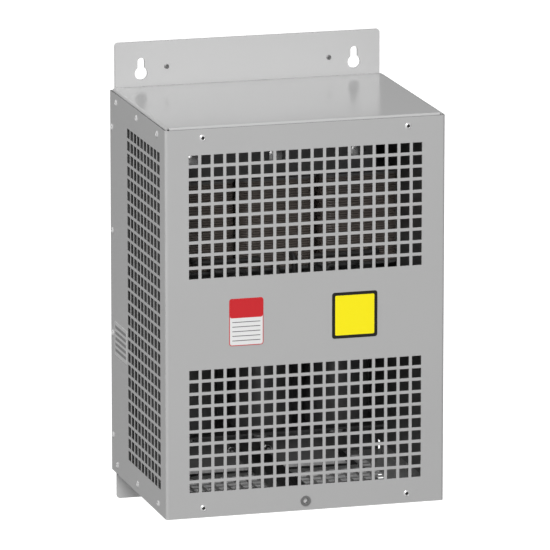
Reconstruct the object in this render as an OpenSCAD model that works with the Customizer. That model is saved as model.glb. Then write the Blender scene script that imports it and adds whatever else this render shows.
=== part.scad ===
// Wall-mounted three-phase sine wave filter in a perforated sheet-metal housing.
// +X is to the right, +Y goes back to the wall, +Z is up, in millimetres.
// The origin is on the wall, midway between the two keyholes that the filter hangs on.

/* [Housing] */
// Width of the hood
box_w = 270; // [264:1:290]
// Height from the hood's lower edge to the top plate
box_h = 372; // [371:1:385]
// Depth from the wall to the front face
box_d = 200; // [190:1:230]
// Thickness of the hood, the trays, the mounting plate and the carrier
sheet_t = 1.5; // [1.2:0.1:2]
// Outer radius of the folds
bend_r = 2.5; // [2.2:0.1:3]
// Gap between the hood's rear edge and the wall
hood_rear_gap = 1; // [0.5:0.1:2]
// Height of the top plate above the hood's upper edge
tray_proud = 2; // [0.5:0.1:2.4]
// Height of the bottom plate above the hood's lower edge
tray_inset = 0.5; // [0:0.1:1]
// Height of the top plate's flanges
top_flange_h = 20; // [16:0.5:24]
// Height of the bottom plate's flanges
bottom_flange_h = 18; // [14:0.5:21]
// Size of the relief notch at the trays' front corners
corner_relief = 0.6; // [0.3:0.1:1.5]
// Gap between the trays and the mounting plate
tray_rear_gap = 0.5; // [0.3:0.1:2]

/* [Perforation] */
// Distance between hole centres
hole_pitch = 12; // [11.5:0.1:12]
// Side of a square hole
hole_w = 9; // [6:0.1:9.5]
// Distance from a side to the hole field's last column, at least
front_margin = 24; // [20:0.5:26.5]
// Distance from the hood's lower edge to the last row, at least
last_row_rise = 28.5; // [20:0.5:29]
// Rows left out between the two blocks
band_rows = 7; // [5:1:7]
// Distance from the wall to the last column on a side, at least
side_back = 66; // [60:0.5:67.5]
// Distance from the top plate to the first row of holes
first_row_drop = 31; // [30.5:0.5:36]
// Distance from the front face to the first column on a side
side_first_col = 24; // [18:0.5:26]
// Distance from a side to the bottom plate's last column, at least
bottom_margin = 32; // [30:0.5:32.5]
// Distance from the wall to the bottom plate's last row, at least
bottom_back = 24; // [20:0.5:24.5]
// Distance from the front face to the first row in the bottom plate
bottom_first_row = 19; // [17:0.5:21]

/* [Mounting flanges] */
// Height of the upper flange above the top plate
flange_up = 43; // [40:1:60]
// Height of the lower flange below the hood
flange_down = 29; // [26:1:50]
// Corner radius of the flanges
flange_corner_r = 3; // [1:0.5:6]
// Distance from a side to the keyholes and the lower holes
fixing_inset = 30; // [24:0.5:38]
// Height of a keyhole's seat above the top plate
seat_up = 24; // [22:0.5:34]
// Width of a keyhole's slot
keyhole_slot_w = 7; // [5:0.1:8]
// Diameter of a keyhole's entry
keyhole_entry_d = 12.5; // [10:0.1:14]
// Distance from the seat down to the centre of the entry
keyhole_drop = 11.5; // [8:0.1:13]
// Diameter of the lower fixing holes
lower_hole_d = 7; // [5:0.1:9]
// Distance from the hood's lower edge down to the lower holes
lower_hole_drop = 14; // [11:0.5:18]
// Depth of the mounting plate's side flanges
side_flange_d = 16; // [14:0.5:22]
// Gap between the side flanges and the hood
slide_gap = 0.5; // [0.3:0.1:1]
// Thickness of the hanger strips behind the flanges
strip_t = 1.5; // [1:0.1:3]
// Height of the hanger strips
strip_h = 50; // [42:1:56]
// Distance from a side to the rivets in the flanges
flange_rivet_inset = 55; // [50:0.5:80]
// Distance from the box to the rivets in a flange
flange_rivet_out = 18; // [14:0.5:22]

/* [Carrier] */
// Gap between a side's outer face and the carrier
carrier_gap = 13; // [10:0.5:16]
// Gap between the front face and the carrier
carrier_front_gap = 25; // [20:0.5:40]
// Gap between the top plate and the carrier
carrier_drop = 7; // [4:0.5:9]
// Margin of the carrier's windows round the coils
window_margin = 8; // [5:0.5:15]

/* [Rivets] */
// Diameter of a rivet's shank
rivet_d = 3.2; // [2.8:0.1:3.6]
// Diameter of a rivet's head
rivet_head_d = 6.5; // [5.5:0.1:7.5]
// Height of a rivet's head
rivet_head_h = 1.5; // [1:0.1:2]
// Diameter of the hollow in a rivet's head
rivet_hollow_d = 2.2; // [1.6:0.1:2.4]
// Diameter of the upset end behind the sheets
rivet_upset_d = 4.8; // [4.2:0.1:5.4]
// Length of the upset end
rivet_upset_l = 3; // [2:0.1:4]
// Distance from a side to the front rivets
front_rivet_inset = 36; // [20:0.5:60]
// Distance from the top plate down to the upper rivets
rivet_top_drop = 10.5; // [9:0.5:14]
// Distance from the hood's lower edge up to the lower rivets
rivet_bottom_rise = 9; // [8.5:0.5:12]
// Distance from the front face to the first rivet of a side's rows
side_rivet_first = 28.5; // [20:0.5:40]
// Distance from the wall to the last rivet of a side's rows
side_rivet_last = 22.5; // [20:0.5:40]
// Distance from the wall to the guide rivets
guide_rivet_back = 7; // [6.5:0.1:8]
// Distance from the top plate to the first guide rivet
guide_rivet_first = 36.5; // [34:0.5:42]
// Distance from the hood's lower edge to the last guide rivet
guide_rivet_last = 35.5; // [32:0.5:45]

/* [Cover screw] */
// Diameter of the thread
cover_screw_d = 5; // [4:0.1:5]
// Length under the head
cover_screw_l = 16; // [14:0.5:20]
// Diameter of the head
cover_head_d = 9.5; // [8:0.1:10]
// Height of the head
cover_head_h = 3.6; // [2.5:0.1:4]
// Diameter of the washer
cover_washer_d = 10; // [9:0.1:12]
// Thickness of the washer
cover_washer_t = 1; // [0.8:0.1:1.5]

/* [Cover arm] */
// Width of the arm
arm_w = 24; // [18:0.5:30]
// Height of the arm's sides
arm_h = 10; // [6:0.5:14]
// Gap between the arm and the rubber edging below it
arm_lift = 0.5; // [0.3:0.1:1.5]
// Width of the arm's foot on the mounting plate
arm_foot_w = 50; // [48:1:60]
// Height of the arm's foot
arm_foot_h = 15; // [12:0.5:15.5]
// Height of the tab that holds the rivet nut
arm_tab_h = 12; // [11:0.5:14]

/* [Cable entry] */
// Distance from a side to the cable entry
entry_margin = 45; // [40:0.5:75]
// Depth of the entry from the bottom plate's rear edge
entry_d = 50; // [30:1:54]
// How far the rubber edging reaches over the sheet
edging_grip = 3.5; // [2.5:0.1:4.5]
// Wall of the rubber edging
edging_t = 1; // [0.8:0.1:1.4]

/* [Choke] */
// Gap between the bobbins and the carrier
coil_side_gap = 1.2; // [0.8:0.1:4]
// Height of the core
core_h = 165; // [155:1:168]
// Depth of the lamination stack
core_stack = 60; // [50:1:64]
// Width of a limb
limb_w = 40; // [34:0.5:42]
// Height of a yoke
yoke_h = 38; // [32:0.5:40]
// Height of the air gap above each limb
air_gap = 1.5; // [0.8:0.1:3]
// Distance from the top plate down to the core
core_drop = 34; // [32:0.5:37]
// Gap between the coils and the carrier
coil_back_gap = 9; // [8:0.5:12]
// Gap between two windings
coil_spacing = 3.4; // [3:0.1:8]
// Wall of a bobbin
bobbin_t = 2; // [1.2:0.1:2.4]
// Thickness of the clamp bars and brackets
clamp_t = 3; // [2:0.1:4]
// Reach of the brackets' feet along the carrier
bracket_foot_h = 24; // [22:0.5:25]
// Distance from the core's end to the bolts in a bracket's foot
bracket_bolt_inset = 20; // [14:0.5:40]
// Diameter of the clamp bolts
clamp_bolt_d = 8; // [6:0.5:8]

/* [Capacitors] */
// Gap between two capacitors
cap_gap = 13; // [11:0.5:20]
// Height of a capacitor's can
cap_h = 84; // [70:1:86]
// Gap between the outer capacitors' share of the shelf and its ends
cap_end_gap = 1.5; // [0:0.5:4]
// Gap between the capacitors and the carrier
cap_back_gap = 9; // [6:0.5:12]
// Height of the shelf above the hood's lower edge
shelf_rise = 46; // [44:0.5:48]
// Gap between a side's outer face and the shelf
shelf_side_gap = 21; // [16:0.5:25]
// Reach of the shelf from the carrier
shelf_d = 76; // [74:0.5:84]
// Thickness of the shelf
shelf_t = 2; // [1.5:0.1:3]
// Height of the shelf's folded edge on the carrier
shelf_leg_h = 22; // [20:0.5:24]
// Diameter of a capacitor's stud
cap_stud_d = 12; // [8:0.5:12]

/* [Terminals] */
// Distance between terminals
terminal_pitch = 16; // [15:0.1:17]
// Depth of a terminal
terminal_d = 42; // [41:0.5:46]
// Height of a terminal
terminal_h = 45; // [44:0.5:47]
// Diameter of the clamp screws
clamp_screw_d = 4; // [3:0.1:4]
// Travel of a clamp cage
cage_travel = 6; // [4:0.1:6]
// Diameter of the cable hole
cable_hole_d = 7.6; // [6:0.1:7.8]
// Length of the standoffs between the clamp bar and the rail
standoff_l = 15; // [14:0.5:20]
// Height of the standard rail
rail_h = 35; // [34:0.1:36]
// Depth of the standard rail
rail_d = 7.5; // [7:0.1:8]
// Diameter of the winding leads
lead_d = 5; // [4:0.1:5.4]
// Diameter of the capacitor leads
cap_lead_d = 2.8; // [2:0.1:3]

/* [Labels] */
// Width of the left label on the front
left_label_w = 33; // [25:0.5:40]
// Height of the left label
left_label_h = 45; // [35:0.5:55]
// Distance of the left label's centre from the middle of the front
left_label_x = 57.5; // [40:0.5:70]
// Side of the right label
right_label_w = 44; // [35:0.5:50]
// Distance of the right label's centre from the middle of the front
right_label_x = 47.5; // [40:0.5:70]
// Width of the rating plate on the left side
rating_w = 45; // [35:0.5:50]
// Height of the rating plate
rating_h = 33; // [25:0.5:40]
// Distance from the wall to the rating plate
rating_back = 14; // [13:0.5:15]
// Thickness of the labels
label_t = 0.3; // [0.2:0.05:0.4]

/* [Hidden] */
$fn = 48;
fine_fn = 96;

// Overrun of every cut, and the clearances
over = 1;
touch_gap = 0.3;
thread_gap = 0.05;
hole_gap = 0.1;

// Main planes of the housing
box_top = -seat_up;
box_bot = box_top - box_h;
front_y = -box_d;
hood_top = box_top - tray_proud;
hood_rear_y = -hood_rear_gap;
inner_w = box_w - 2 * sheet_t;
carrier_w = box_w - 2 * carrier_gap;
shelf_w = box_w - 2 * shelf_side_gap;
entry_w = box_w - 2 * entry_margin;
fixing_spacing = box_w - 2 * fixing_inset;
fixing_height = seat_up + box_h + lower_hole_drop;
flange_rivet_spacing = box_w - 2 * flange_rivet_inset;
front_rivet_spacing = box_w - 2 * front_rivet_inset;
side_rivet_pitch = (box_d - side_rivet_first - side_rivet_last) / 2;
guide_rivet_pitch = (box_h - guide_rivet_first - guide_rivet_last) / 3;
front_cols = 2 * floor((box_w / 2 - front_margin) / hole_pitch) + 1;
side_cols = floor((box_d - side_first_col - side_back) / hole_pitch) + 1;
bottom_cols = 2 * floor((box_w / 2 - bottom_margin) / hole_pitch + 0.5);
bottom_rows = floor((box_d - bottom_first_row - bottom_back) / hole_pitch) + 1;
block_rows = floor(((box_h - first_row_drop - last_row_rise) / hole_pitch + 1 - band_rows) / 2);
inner_front_y = front_y + sheet_t;
plate_back_y = -strip_t;
plate_y = plate_back_y - sheet_t;
inner_y = plate_y - sheet_t;
plate_w = inner_w - 2 * slide_gap - 2 * bend_r;
flange_top = box_top + flange_up;
flange_bot = box_bot - flange_down;
tray_rear_y = plate_y - tray_rear_gap;
bottom_face = box_bot + tray_inset;

// Places of the fasteners in the housing
rivet_top_z = box_top - rivet_top_drop;
rivet_bot_z = box_bot + rivet_bottom_rise;
rivet_head_r = rivet_head_d / 2;
rivet_ball_r = (pow(rivet_head_r, 2) + pow(rivet_head_h, 2)) / (2 * rivet_head_h);
flange_spare = 4;
side_flange_top = box_top - top_flange_h - flange_spare;
side_flange_bot = bottom_face + bottom_flange_h + flange_spare;
guide_slot_w = rivet_d + 2 * slide_gap;
guide_grip = sheet_t + 2 * slide_gap + sheet_t;
flange_rivet_zs = [box_top + flange_rivet_out, box_bot - flange_rivet_out];

// Choke
bobbin_rim = 1;
coil_room = carrier_w / 2 - sheet_t - coil_side_gap - bobbin_rim;
limb_pitch = (coil_room + coil_spacing / 2) / 1.5;
core_w = 2 * limb_pitch + limb_w;
winding_t = (limb_pitch - limb_w - coil_spacing) / 2 - touch_gap - bobbin_t;
bracket_bolt_spacing = core_w - 2 * bracket_bolt_inset;
window_h = core_h - 2 * yoke_h;
wrap_t = touch_gap + bobbin_t + winding_t;
coil_depth = core_stack + 2 * wrap_t;
coil_width = limb_w + 2 * wrap_t;
choke_y = inner_y - coil_back_gap - coil_depth / 2;
core_top = box_top - core_drop;
core_bot = core_top - core_h;
yoke_front_y = choke_y - core_stack / 2;
yoke_back_y = choke_y + core_stack / 2;
upper_bolt_z = core_top - yoke_h / 2;
lower_bolt_z = core_bot + yoke_h / 2;
coil_bot = core_bot + yoke_h + touch_gap + bobbin_t;
coil_top = core_top - yoke_h - touch_gap - bobbin_t;
coil_front_y = choke_y - coil_depth / 2;
coil_corner_r = 12;
clamp_leg_d = 16;
clamp_drop = 18;
nut_h_share = 0.8;
nut_w_share = 1.65;
head_h_share = 0.66;

// Studs on the mounting plate
choke_stud_d = 8;
shelf_stud_d = 6;
arm_stud_d = 5;
earth_stud_d = 6;
choke_stud_zs = [core_top + bracket_foot_h / 2, core_bot - bracket_foot_h / 2];
shelf_stud_inset = 24;
shelf_stud_spacing = shelf_w - 2 * shelf_stud_inset;
shelf_top = box_bot + shelf_rise;
shelf_stud_z = shelf_top - shelf_t - shelf_leg_h / 2;
arm_bot = bottom_face + sheet_t + edging_t + arm_lift;
arm_stud_spacing = 36;
arm_stud_z = arm_bot + arm_foot_h / 2;
arm_web_t = 1.5;
earth_stud_inset = 23;
earth_stud_x = box_w / 2 - earth_stud_inset;
earth_stud_z = arm_stud_z;
earth_stud_l = 18;
earth_washer_t = 1.6;
earth_washer_d = 12.5;
stud_spare = 2;
// Each stud's x, z, diameter and the thickness that it holds
choke_studs = [for (x = [-1, 1], z = choke_stud_zs)
    [x * bracket_bolt_spacing / 2, z, choke_stud_d, sheet_t + clamp_t]];
shelf_studs = [for (x = [-1, 1])
    [x * shelf_stud_spacing / 2, shelf_stud_z, shelf_stud_d, sheet_t + shelf_t]];
arm_studs = [for (x = [-1, 1]) [x * arm_stud_spacing / 2, arm_stud_z, arm_stud_d, arm_web_t]];
earth_stud = [-earth_stud_x, earth_stud_z, earth_stud_d, earth_washer_t];
all_studs = concat(choke_studs, shelf_studs, arm_studs, [earth_stud]);

// Carrier
carrier_top = box_top - carrier_drop;
carrier_bot = shelf_top - shelf_t - shelf_leg_h - stud_spare;
carrier_front_y = front_y + carrier_front_gap;
window_r = 6;

// Rivet nut at the front end of the cover arm
nut_flange_d = 9;
nut_flange_t = 0.8;
nut_body_d = 7;
nut_body_l = 9;
nut_face_y = inner_front_y + sheet_t + touch_gap;
arm_tab_y = nut_face_y + nut_flange_t;

// Capacitors
cap_spacing = (shelf_w - 2 * cap_end_gap) / 3;
cap_d = cap_spacing - cap_gap;
cap_y = inner_y - cap_back_gap - cap_d / 2;
cap_top = shelf_top + cap_h;
cap_lid_inset = 4;
cap_lid_d = cap_d - 2 * cap_lid_inset;
cap_lid_h = 4;
cap_rim = 1.5;
cap_stud_l = 14;
tab_w = 6.3;
tab_t = 0.8;
tab_h = 9;
tab_offset = 12;
link_t = 1;
link_h = 6;

// Terminals
terminals = 6;
clamp_front_y = yoke_front_y - clamp_t;
rail_back_y = clamp_front_y - standoff_l;
rail_front_y = rail_back_y - rail_d;
rail_drop = 4;
rail_z = core_bot - rail_drop;
rail_t = 1;
rail_web_share = 0.77;
rail_spare = 5;
standoff_w = 8;
standoff_share = 0.35;
block_gap = 0.2;
block_back_y = rail_front_y - block_gap;
block_front_y = block_back_y - terminal_d;
claw_t = 3;
claw_hook = 2.5;
stop_w = 8;
stop_h_share = 0.9;
stop_d_share = 0.45;
clamp_below_rail = 10;
clamp_z = rail_z - clamp_below_rail;
screw_head_d = 7;
screw_head_h = 2.6;
screw_well_d = screw_head_d + 2 * touch_gap;
screw_seat = 7;
bar_depth = 20;
bar_t = 2;
bar_w = 6.5;
cage_wall = 2;
cage_side = 1.3;
cage_w = 10;
cage_h = 9;
screw_collar = 3;
cage_front = screw_seat + screw_collar;
cage_inner_end = bar_depth + bar_t + touch_gap;
cavity_w = cage_w + 2 * touch_gap;
cavity_start = cage_front - touch_gap;
cavity_end = cage_inner_end + cage_wall + cage_travel + touch_gap;
cavity_h = cage_h + 2 * touch_gap;
wire_depth = bar_depth + bar_t + touch_gap + lead_d / 2;
cable_depth = bar_depth + bar_t + cable_hole_d / 2;
cap_wire_depth = cavity_end + cap_lead_d;
lead_hole_rise = 4;
lead_hole_end = rail_z + lead_hole_rise;
front_slope_share = 0.3;
slot_w = 1;
slot_d = 1.2;

// Leads
lead_level = 5;
lead_rise = 10;
lead_levels = [coil_bot + lead_level, coil_bot + lead_level + lead_rise];
lead_start_x = 10;
cap_lead_y = block_front_y + cap_wire_depth;

// Labels
label_z = row_z(block_rows + band_rows / 2 - 0.5);
label_corner_r = 2.5;
rating_z = row_z(17.4);

function col_x(i) = (i - (front_cols - 1) / 2) * hole_pitch;
function row_z(j) = box_top - first_row_drop - j * hole_pitch;
function side_hole_y(k) = front_y + side_first_col + k * hole_pitch;
function bottom_x(i) = (i - (bottom_cols - 1) / 2) * hole_pitch;
function bottom_y(j) = front_y + bottom_first_row + j * hole_pitch;
function side_rivet_y(k) = front_y + side_rivet_first + k * side_rivet_pitch;
function guide_rivet_z(k) = box_top - guide_rivet_first - k * guide_rivet_pitch;
function terminal_x(i) = (i - (terminals - 1) / 2) * terminal_pitch;
function limb_x(k) = (k - 1) * limb_pitch;
function cap_x(k) = (k - 1) * cap_spacing;

// Plates drawn as outlines: X-Z outlines between two depths, Y-Z outlines, X-Y outlines
module between_y(y0, y1) {
    translate([0, y1, 0]) rotate([90, 0, 0]) linear_extrude(y1 - y0) children();
}

module between_x(x0, x1) {
    translate([x0, 0, 0]) rotate([90, 0, 90]) linear_extrude(x1 - x0) children();
}

module between_z(z0, z1) {
    translate([0, 0, z0]) linear_extrude(z1 - z0) children();
}

module block(low, high) {
    translate(low) cube(high - low);
}

module rect(low, high) {
    translate(low) square(high - low);
}

module rod_y(x, z, y0, y1, d) {
    translate([x, y1, z]) rotate([90, 0, 0]) cylinder(h = y1 - y0, d = d);
}

module rod_z(x, y, z0, z1, d) {
    translate([x, y, z0]) cylinder(h = z1 - z0, d = d);
}

module hex_y(x, z, y0, y1, across) {
    translate([x, y1, z]) rotate([90, 0, 0]) cylinder(h = y1 - y0, d = across * 2 / sqrt(3), $fn = 6);
}

module rounded(low, high, r) {
    rect([low.x + r, low.y], [high.x - r, high.y]);
    rect([low.x, low.y + r], [high.x, high.y - r]);
    for (x = [low.x + r, high.x - r], y = [low.y + r, high.y - r])
        translate([x, y]) circle(r);
}

// A quarter fold: the ring sector from start to start + 90 degrees, drawn along its axis
module fold(l, start) {
    rotate([0, 0, start]) rotate_extrude(angle = 90) rect([bend_r - sheet_t, 0], [bend_r, l]);
}

// Hood
module front_holes() {
    for (i = [0:front_cols - 1], j = [0:2 * block_rows + band_rows - 1])
        if (j < block_rows || j >= block_rows + band_rows)
            translate([col_x(i), row_z(j)]) square(hole_w, center = true);
    for (x = [-1, 1], z = [rivet_top_z, rivet_bot_z])
        translate([x * front_rivet_spacing / 2, z]) circle(d = rivet_d + hole_gap);
    translate([0, rivet_bot_z]) circle(d = cover_screw_d + 2 * touch_gap);
}

module side_holes() {
    for (k = [0:side_cols - 1], j = [0:2 * block_rows + band_rows - 1])
        translate([side_hole_y(k), row_z(j)]) square(hole_w, center = true);
    for (k = [0:2], z = [rivet_top_z, rivet_bot_z])
        translate([side_rivet_y(k), z]) circle(d = rivet_d + hole_gap);
    for (k = [0:3])
        translate([-guide_rivet_back, guide_rivet_z(k)]) circle(d = rivet_d + hole_gap);
}

module hood_shell() color([0.72, 0.72, 0.72]) {
    flat_x = box_w / 2 - bend_r;
    between_y(front_y, inner_front_y) difference() {
        rect([-flat_x, box_bot], [flat_x, hood_top]);
        front_holes();
    }
    for (side = [0, 1]) mirror([side, 0, 0]) {
        between_x(inner_w / 2, box_w / 2) difference() {
            rect([front_y + bend_r, box_bot], [hood_rear_y, hood_top]);
            side_holes();
        }
        translate([flat_x, front_y + bend_r, box_bot]) fold(hood_top - box_bot, -90);
    }
}

// A tray with its outer face at z = 0 and its flanges below: children cut the face, the front
// flange and the side flanges
module tray(flange_h) {
    flat_x = inner_w / 2 - bend_r;
    flat_y = inner_front_y + bend_r;
    short_x = flat_x - corner_relief;
    short_y = flat_y + corner_relief;
    between_z(-sheet_t, 0) difference() {
        union() {
            rect([-flat_x, short_y], [flat_x, tray_rear_y]);
            rect([-short_x, flat_y], [short_x, short_y + over]);
        }
        children(0);
    }
    translate([-short_x, flat_y, -bend_r]) rotate([90, 0, 90]) fold(2 * short_x, 90);
    between_y(inner_front_y, inner_front_y + sheet_t) difference() {
        rect([-short_x, -flange_h], [short_x, -bend_r]);
        children(1);
    }
    for (side = [0, 1]) mirror([side, 0, 0]) {
        translate([flat_x, tray_rear_y, -bend_r]) rotate([90, 0, 0]) fold(tray_rear_y - short_y, 0);
        between_x(inner_w / 2 - sheet_t, inner_w / 2) difference() {
            rect([short_y, -flange_h], [tray_rear_y, -bend_r]);
            children(2);
        }
    }
}

module tray_rivet_holes_front(drop) {
    for (x = [-1, 1]) translate([x * front_rivet_spacing / 2, -drop]) circle(d = rivet_d + hole_gap);
}

module tray_rivet_holes_side(drop) {
    for (k = [0:2]) translate([side_rivet_y(k), -drop]) circle(d = rivet_d + hole_gap);
}

module top_plate() color([0.76, 0.76, 0.76]) {
    translate([0, 0, box_top]) tray(top_flange_h) {
        group();
        tray_rivet_holes_front(rivet_top_drop);
        tray_rivet_holes_side(rivet_top_drop);
    }
}

module entry_outline(grow) {
    rect([-entry_w / 2 - grow, tray_rear_y - entry_d - grow], [entry_w / 2 + grow, tray_rear_y + over]);
}

module bottom_face_cuts() {
    margin = hole_w / 2 + edging_grip + over;
    for (i = [0:bottom_cols - 1], j = [0:bottom_rows - 1])
        if (abs(bottom_x(i)) > entry_w / 2 + margin || bottom_y(j) < tray_rear_y - entry_d - margin)
            translate([bottom_x(i), bottom_y(j)]) square(hole_w, center = true);
    entry_outline(0);
}

module bottom_plate() color([0.7, 0.7, 0.7]) {
    drop = rivet_bottom_rise - tray_inset;
    translate([0, 0, bottom_face]) mirror([0, 0, 1]) tray(bottom_flange_h) {
        bottom_face_cuts();
        union() {
            tray_rivet_holes_front(drop);
            translate([0, -drop]) circle(d = cover_screw_d + 2 * touch_gap);
        }
        tray_rivet_holes_side(drop);
    }
}

module cable_edge_trim() color([0.12, 0.12, 0.12]) {
    difference() {
        between_z(bottom_face - edging_t, bottom_face + sheet_t + edging_t) difference() {
            rect([-entry_w / 2 - edging_grip, tray_rear_y - entry_d - edging_grip],
                 [entry_w / 2 + edging_grip, tray_rear_y]);
            entry_outline(-edging_t);
        }
        between_z(bottom_face, bottom_face + sheet_t) difference() {
            entry_outline(edging_grip + over);
            entry_outline(0);
        }
    }
}

// A blind rivet with its seat at z = 0, its head above and its upset end below the grip
module rivet(grip) {
    rotate_extrude() difference() {
        union() {
            intersection() {
                translate([0, rivet_head_h - rivet_ball_r]) circle(rivet_ball_r, $fn = fine_fn);
                rect([0, 0], [rivet_head_r, rivet_head_h]);
            }
            rect([0, -grip - rivet_upset_l], [rivet_d / 2, over / 2]);
            rect([0, -grip - rivet_upset_l], [rivet_upset_d / 2, -grip]);
        }
        rect([-over, -grip], [rivet_hollow_d / 2, rivet_head_h + over]);
    }
}

module front_rivets() color([0.8, 0.8, 0.82]) {
    for (x = [-1, 1], z = [rivet_top_z, rivet_bot_z])
        translate([x * front_rivet_spacing / 2, front_y, z]) rotate([90, 0, 0]) rivet(2 * sheet_t);
}

module side_rivets() color([0.8, 0.8, 0.82]) {
    for (side = [0, 1]) mirror([side, 0, 0])
        for (k = [0:2], z = [rivet_top_z, rivet_bot_z])
            translate([box_w / 2, side_rivet_y(k), z]) rotate([0, 90, 0]) rivet(2 * sheet_t);
}

module guide_rivets() color([0.8, 0.8, 0.82]) {
    for (side = [0, 1]) mirror([side, 0, 0])
        for (k = [0:3])
            translate([box_w / 2, -guide_rivet_back, guide_rivet_z(k)])
                rotate([0, 90, 0]) rivet(guide_grip);
}

module front_label_left() color([0.9, 0.9, 0.9]) {
    low = [-left_label_x - left_label_w / 2, label_z - left_label_h / 2];
    between_y(front_y - label_t, front_y) rounded(low, low + [left_label_w, left_label_h], label_corner_r);
}

module front_label_right() color([0.95, 0.82, 0.1]) {
    low = [right_label_x - right_label_w / 2, label_z - right_label_w / 2];
    between_y(front_y - label_t, front_y) rounded(low, low + [right_label_w, right_label_w], label_corner_r);
}

module rating_plate() color([0.66, 0.66, 0.66]) {
    low = [-rating_back - rating_w, rating_z - rating_h / 2];
    between_x(-box_w / 2 - label_t, -box_w / 2)
        rounded(low, low + [rating_w, rating_h], label_corner_r / 2);
}

// Cover screw with its washer
module screw_washer() color([0.8, 0.8, 0.82]) {
    difference() {
        rod_y(0, rivet_bot_z, front_y - cover_washer_t, front_y, cover_washer_d);
        rod_y(0, rivet_bot_z, front_y - cover_washer_t - over, front_y + over,
              cover_screw_d + 2 * thread_gap);
    }
}

module cover_screw() color([0.82, 0.82, 0.84]) {
    seat_y = front_y - cover_washer_t;
    head_r = cover_head_d / 2;
    ball_r = (pow(head_r, 2) + pow(cover_head_h, 2)) / (2 * cover_head_h);
    recess = [cover_head_d / 2, cover_screw_d / 4, cover_head_h / 2];
    difference() {
        translate([0, seat_y, rivet_bot_z]) rotate([90, 0, 0]) rotate_extrude() union() {
            intersection() {
                translate([0, cover_head_h - ball_r]) circle(ball_r, $fn = fine_fn);
                rect([0, 0], [head_r, cover_head_h]);
            }
            rect([0, -cover_screw_l], [cover_screw_d / 2, over / 2]);
        }
        for (turn = [0, 90])
            translate([0, seat_y - cover_head_h, rivet_bot_z]) rotate([0, turn, 0])
                cube([recess.x, 2 * recess.z, recess.y], center = true);
    }
}

// Mounting plate
module keyhole() {
    circle(d = keyhole_slot_w);
    rect([-keyhole_slot_w / 2, -keyhole_drop], [keyhole_slot_w / 2, 0]);
    translate([0, -keyhole_drop]) circle(d = keyhole_entry_d);
}

module flange_holes() {
    for (side = [-1, 1]) {
        translate([side * fixing_spacing / 2, 0]) keyhole();
        translate([side * fixing_spacing / 2, -fixing_height]) circle(d = lower_hole_d);
        for (z = flange_rivet_zs)
            translate([side * flange_rivet_spacing / 2, z]) circle(d = rivet_d + hole_gap);
    }
}

module stud_holes() {
    for (s = all_studs) translate([s[0], s[1]]) circle(d = s[2] + hole_gap);
}

// Holes in a sheet on the mounting plate, for its studs
module foot_holes(studs, t) {
    for (s = studs) rod_y(s[0], s[1], plate_y - t - over, plate_y + over, s[2] + 2 * hole_gap);
}

module back_plate() color([0.76, 0.76, 0.76]) {
    edge_x = plate_w / 2 + bend_r;
    fold_y = plate_back_y - bend_r;
    between_y(plate_y, plate_back_y) difference() {
        rounded([-plate_w / 2, flange_bot], [plate_w / 2, flange_top], flange_corner_r);
        flange_holes();
        stud_holes();
    }
    for (side = [0, 1]) mirror([side, 0, 0]) {
        translate([plate_w / 2, fold_y, side_flange_bot]) fold(side_flange_top - side_flange_bot, 0);
        between_x(edge_x - sheet_t, edge_x) difference() {
            rect([plate_back_y - side_flange_d, side_flange_bot], [fold_y, side_flange_top]);
            for (k = [0:3]) translate([0, guide_rivet_z(k)]) {
                rect([plate_back_y - side_flange_d - over, -guide_slot_w / 2],
                     [-guide_rivet_back, guide_slot_w / 2]);
                translate([-guide_rivet_back, 0]) circle(d = guide_slot_w);
            }
        }
    }
}

// U-shaped carrier round the choke and the capacitors, open beside the coils
module carrier_frame() color([0.12, 0.12, 0.12]) {
    flat_x = carrier_w / 2 - bend_r;
    half_depth = coil_depth / 2 - window_margin;
    difference() {
        between_y(inner_y, plate_y) rect([-flat_x, carrier_bot], [flat_x, carrier_top]);
        foot_holes(concat(choke_studs, shelf_studs), sheet_t);
    }
    for (side = [0, 1]) mirror([side, 0, 0]) {
        translate([flat_x, plate_y - bend_r, carrier_bot]) fold(carrier_top - carrier_bot, 0);
        between_x(carrier_w / 2 - sheet_t, carrier_w / 2) difference() {
            rect([carrier_front_y, carrier_bot], [plate_y - bend_r, carrier_top]);
            rounded([choke_y - half_depth, coil_bot + window_margin],
                    [choke_y + half_depth, coil_top - window_margin], window_r);
        }
    }
}

module hanger_strips() color([0.7, 0.7, 0.7]) {
    for (z = [flange_bot, flange_top - strip_h])
        between_y(plate_back_y, 0) difference() {
            rounded([-plate_w / 2, z], [plate_w / 2, z + strip_h], flange_corner_r);
            flange_holes();
        }
}

// Flat rivets that join the flanges and the strips, flush with the wall side
module flange_rivets() color([0.62, 0.62, 0.62]) {
    for (side = [-1, 1], z = flange_rivet_zs)
        difference() {
            union() {
                rod_y(side * flange_rivet_spacing / 2, z, plate_y, 0, rivet_d);
                rod_y(side * flange_rivet_spacing / 2, z, plate_y - rivet_head_h / 2, plate_y, rivet_upset_d);
            }
            rod_y(side * flange_rivet_spacing / 2, z, plate_y - rivet_head_h, plate_y, rivet_hollow_d);
        }
}

module plate_studs() color([0.78, 0.78, 0.8]) {
    for (s = concat(choke_studs, shelf_studs, arm_studs))
        rod_y(s[0], s[1], plate_y - s[3] - s[2] * nut_h_share - stud_spare, plate_back_y, s[2]);
    rod_y(earth_stud[0], earth_stud[1], plate_y - earth_stud_l, plate_back_y, earth_stud_d);
}

module stud_nuts() color([0.78, 0.78, 0.8]) {
    for (s = all_studs) {
        seat_y = plate_y - s[3];
        difference() {
            hex_y(s[0], s[1], seat_y - s[2] * nut_h_share, seat_y, s[2] * nut_w_share);
            rod_y(s[0], s[1], seat_y - s[2] - over, seat_y + over, s[2] + 2 * thread_gap);
        }
    }
}

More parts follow.
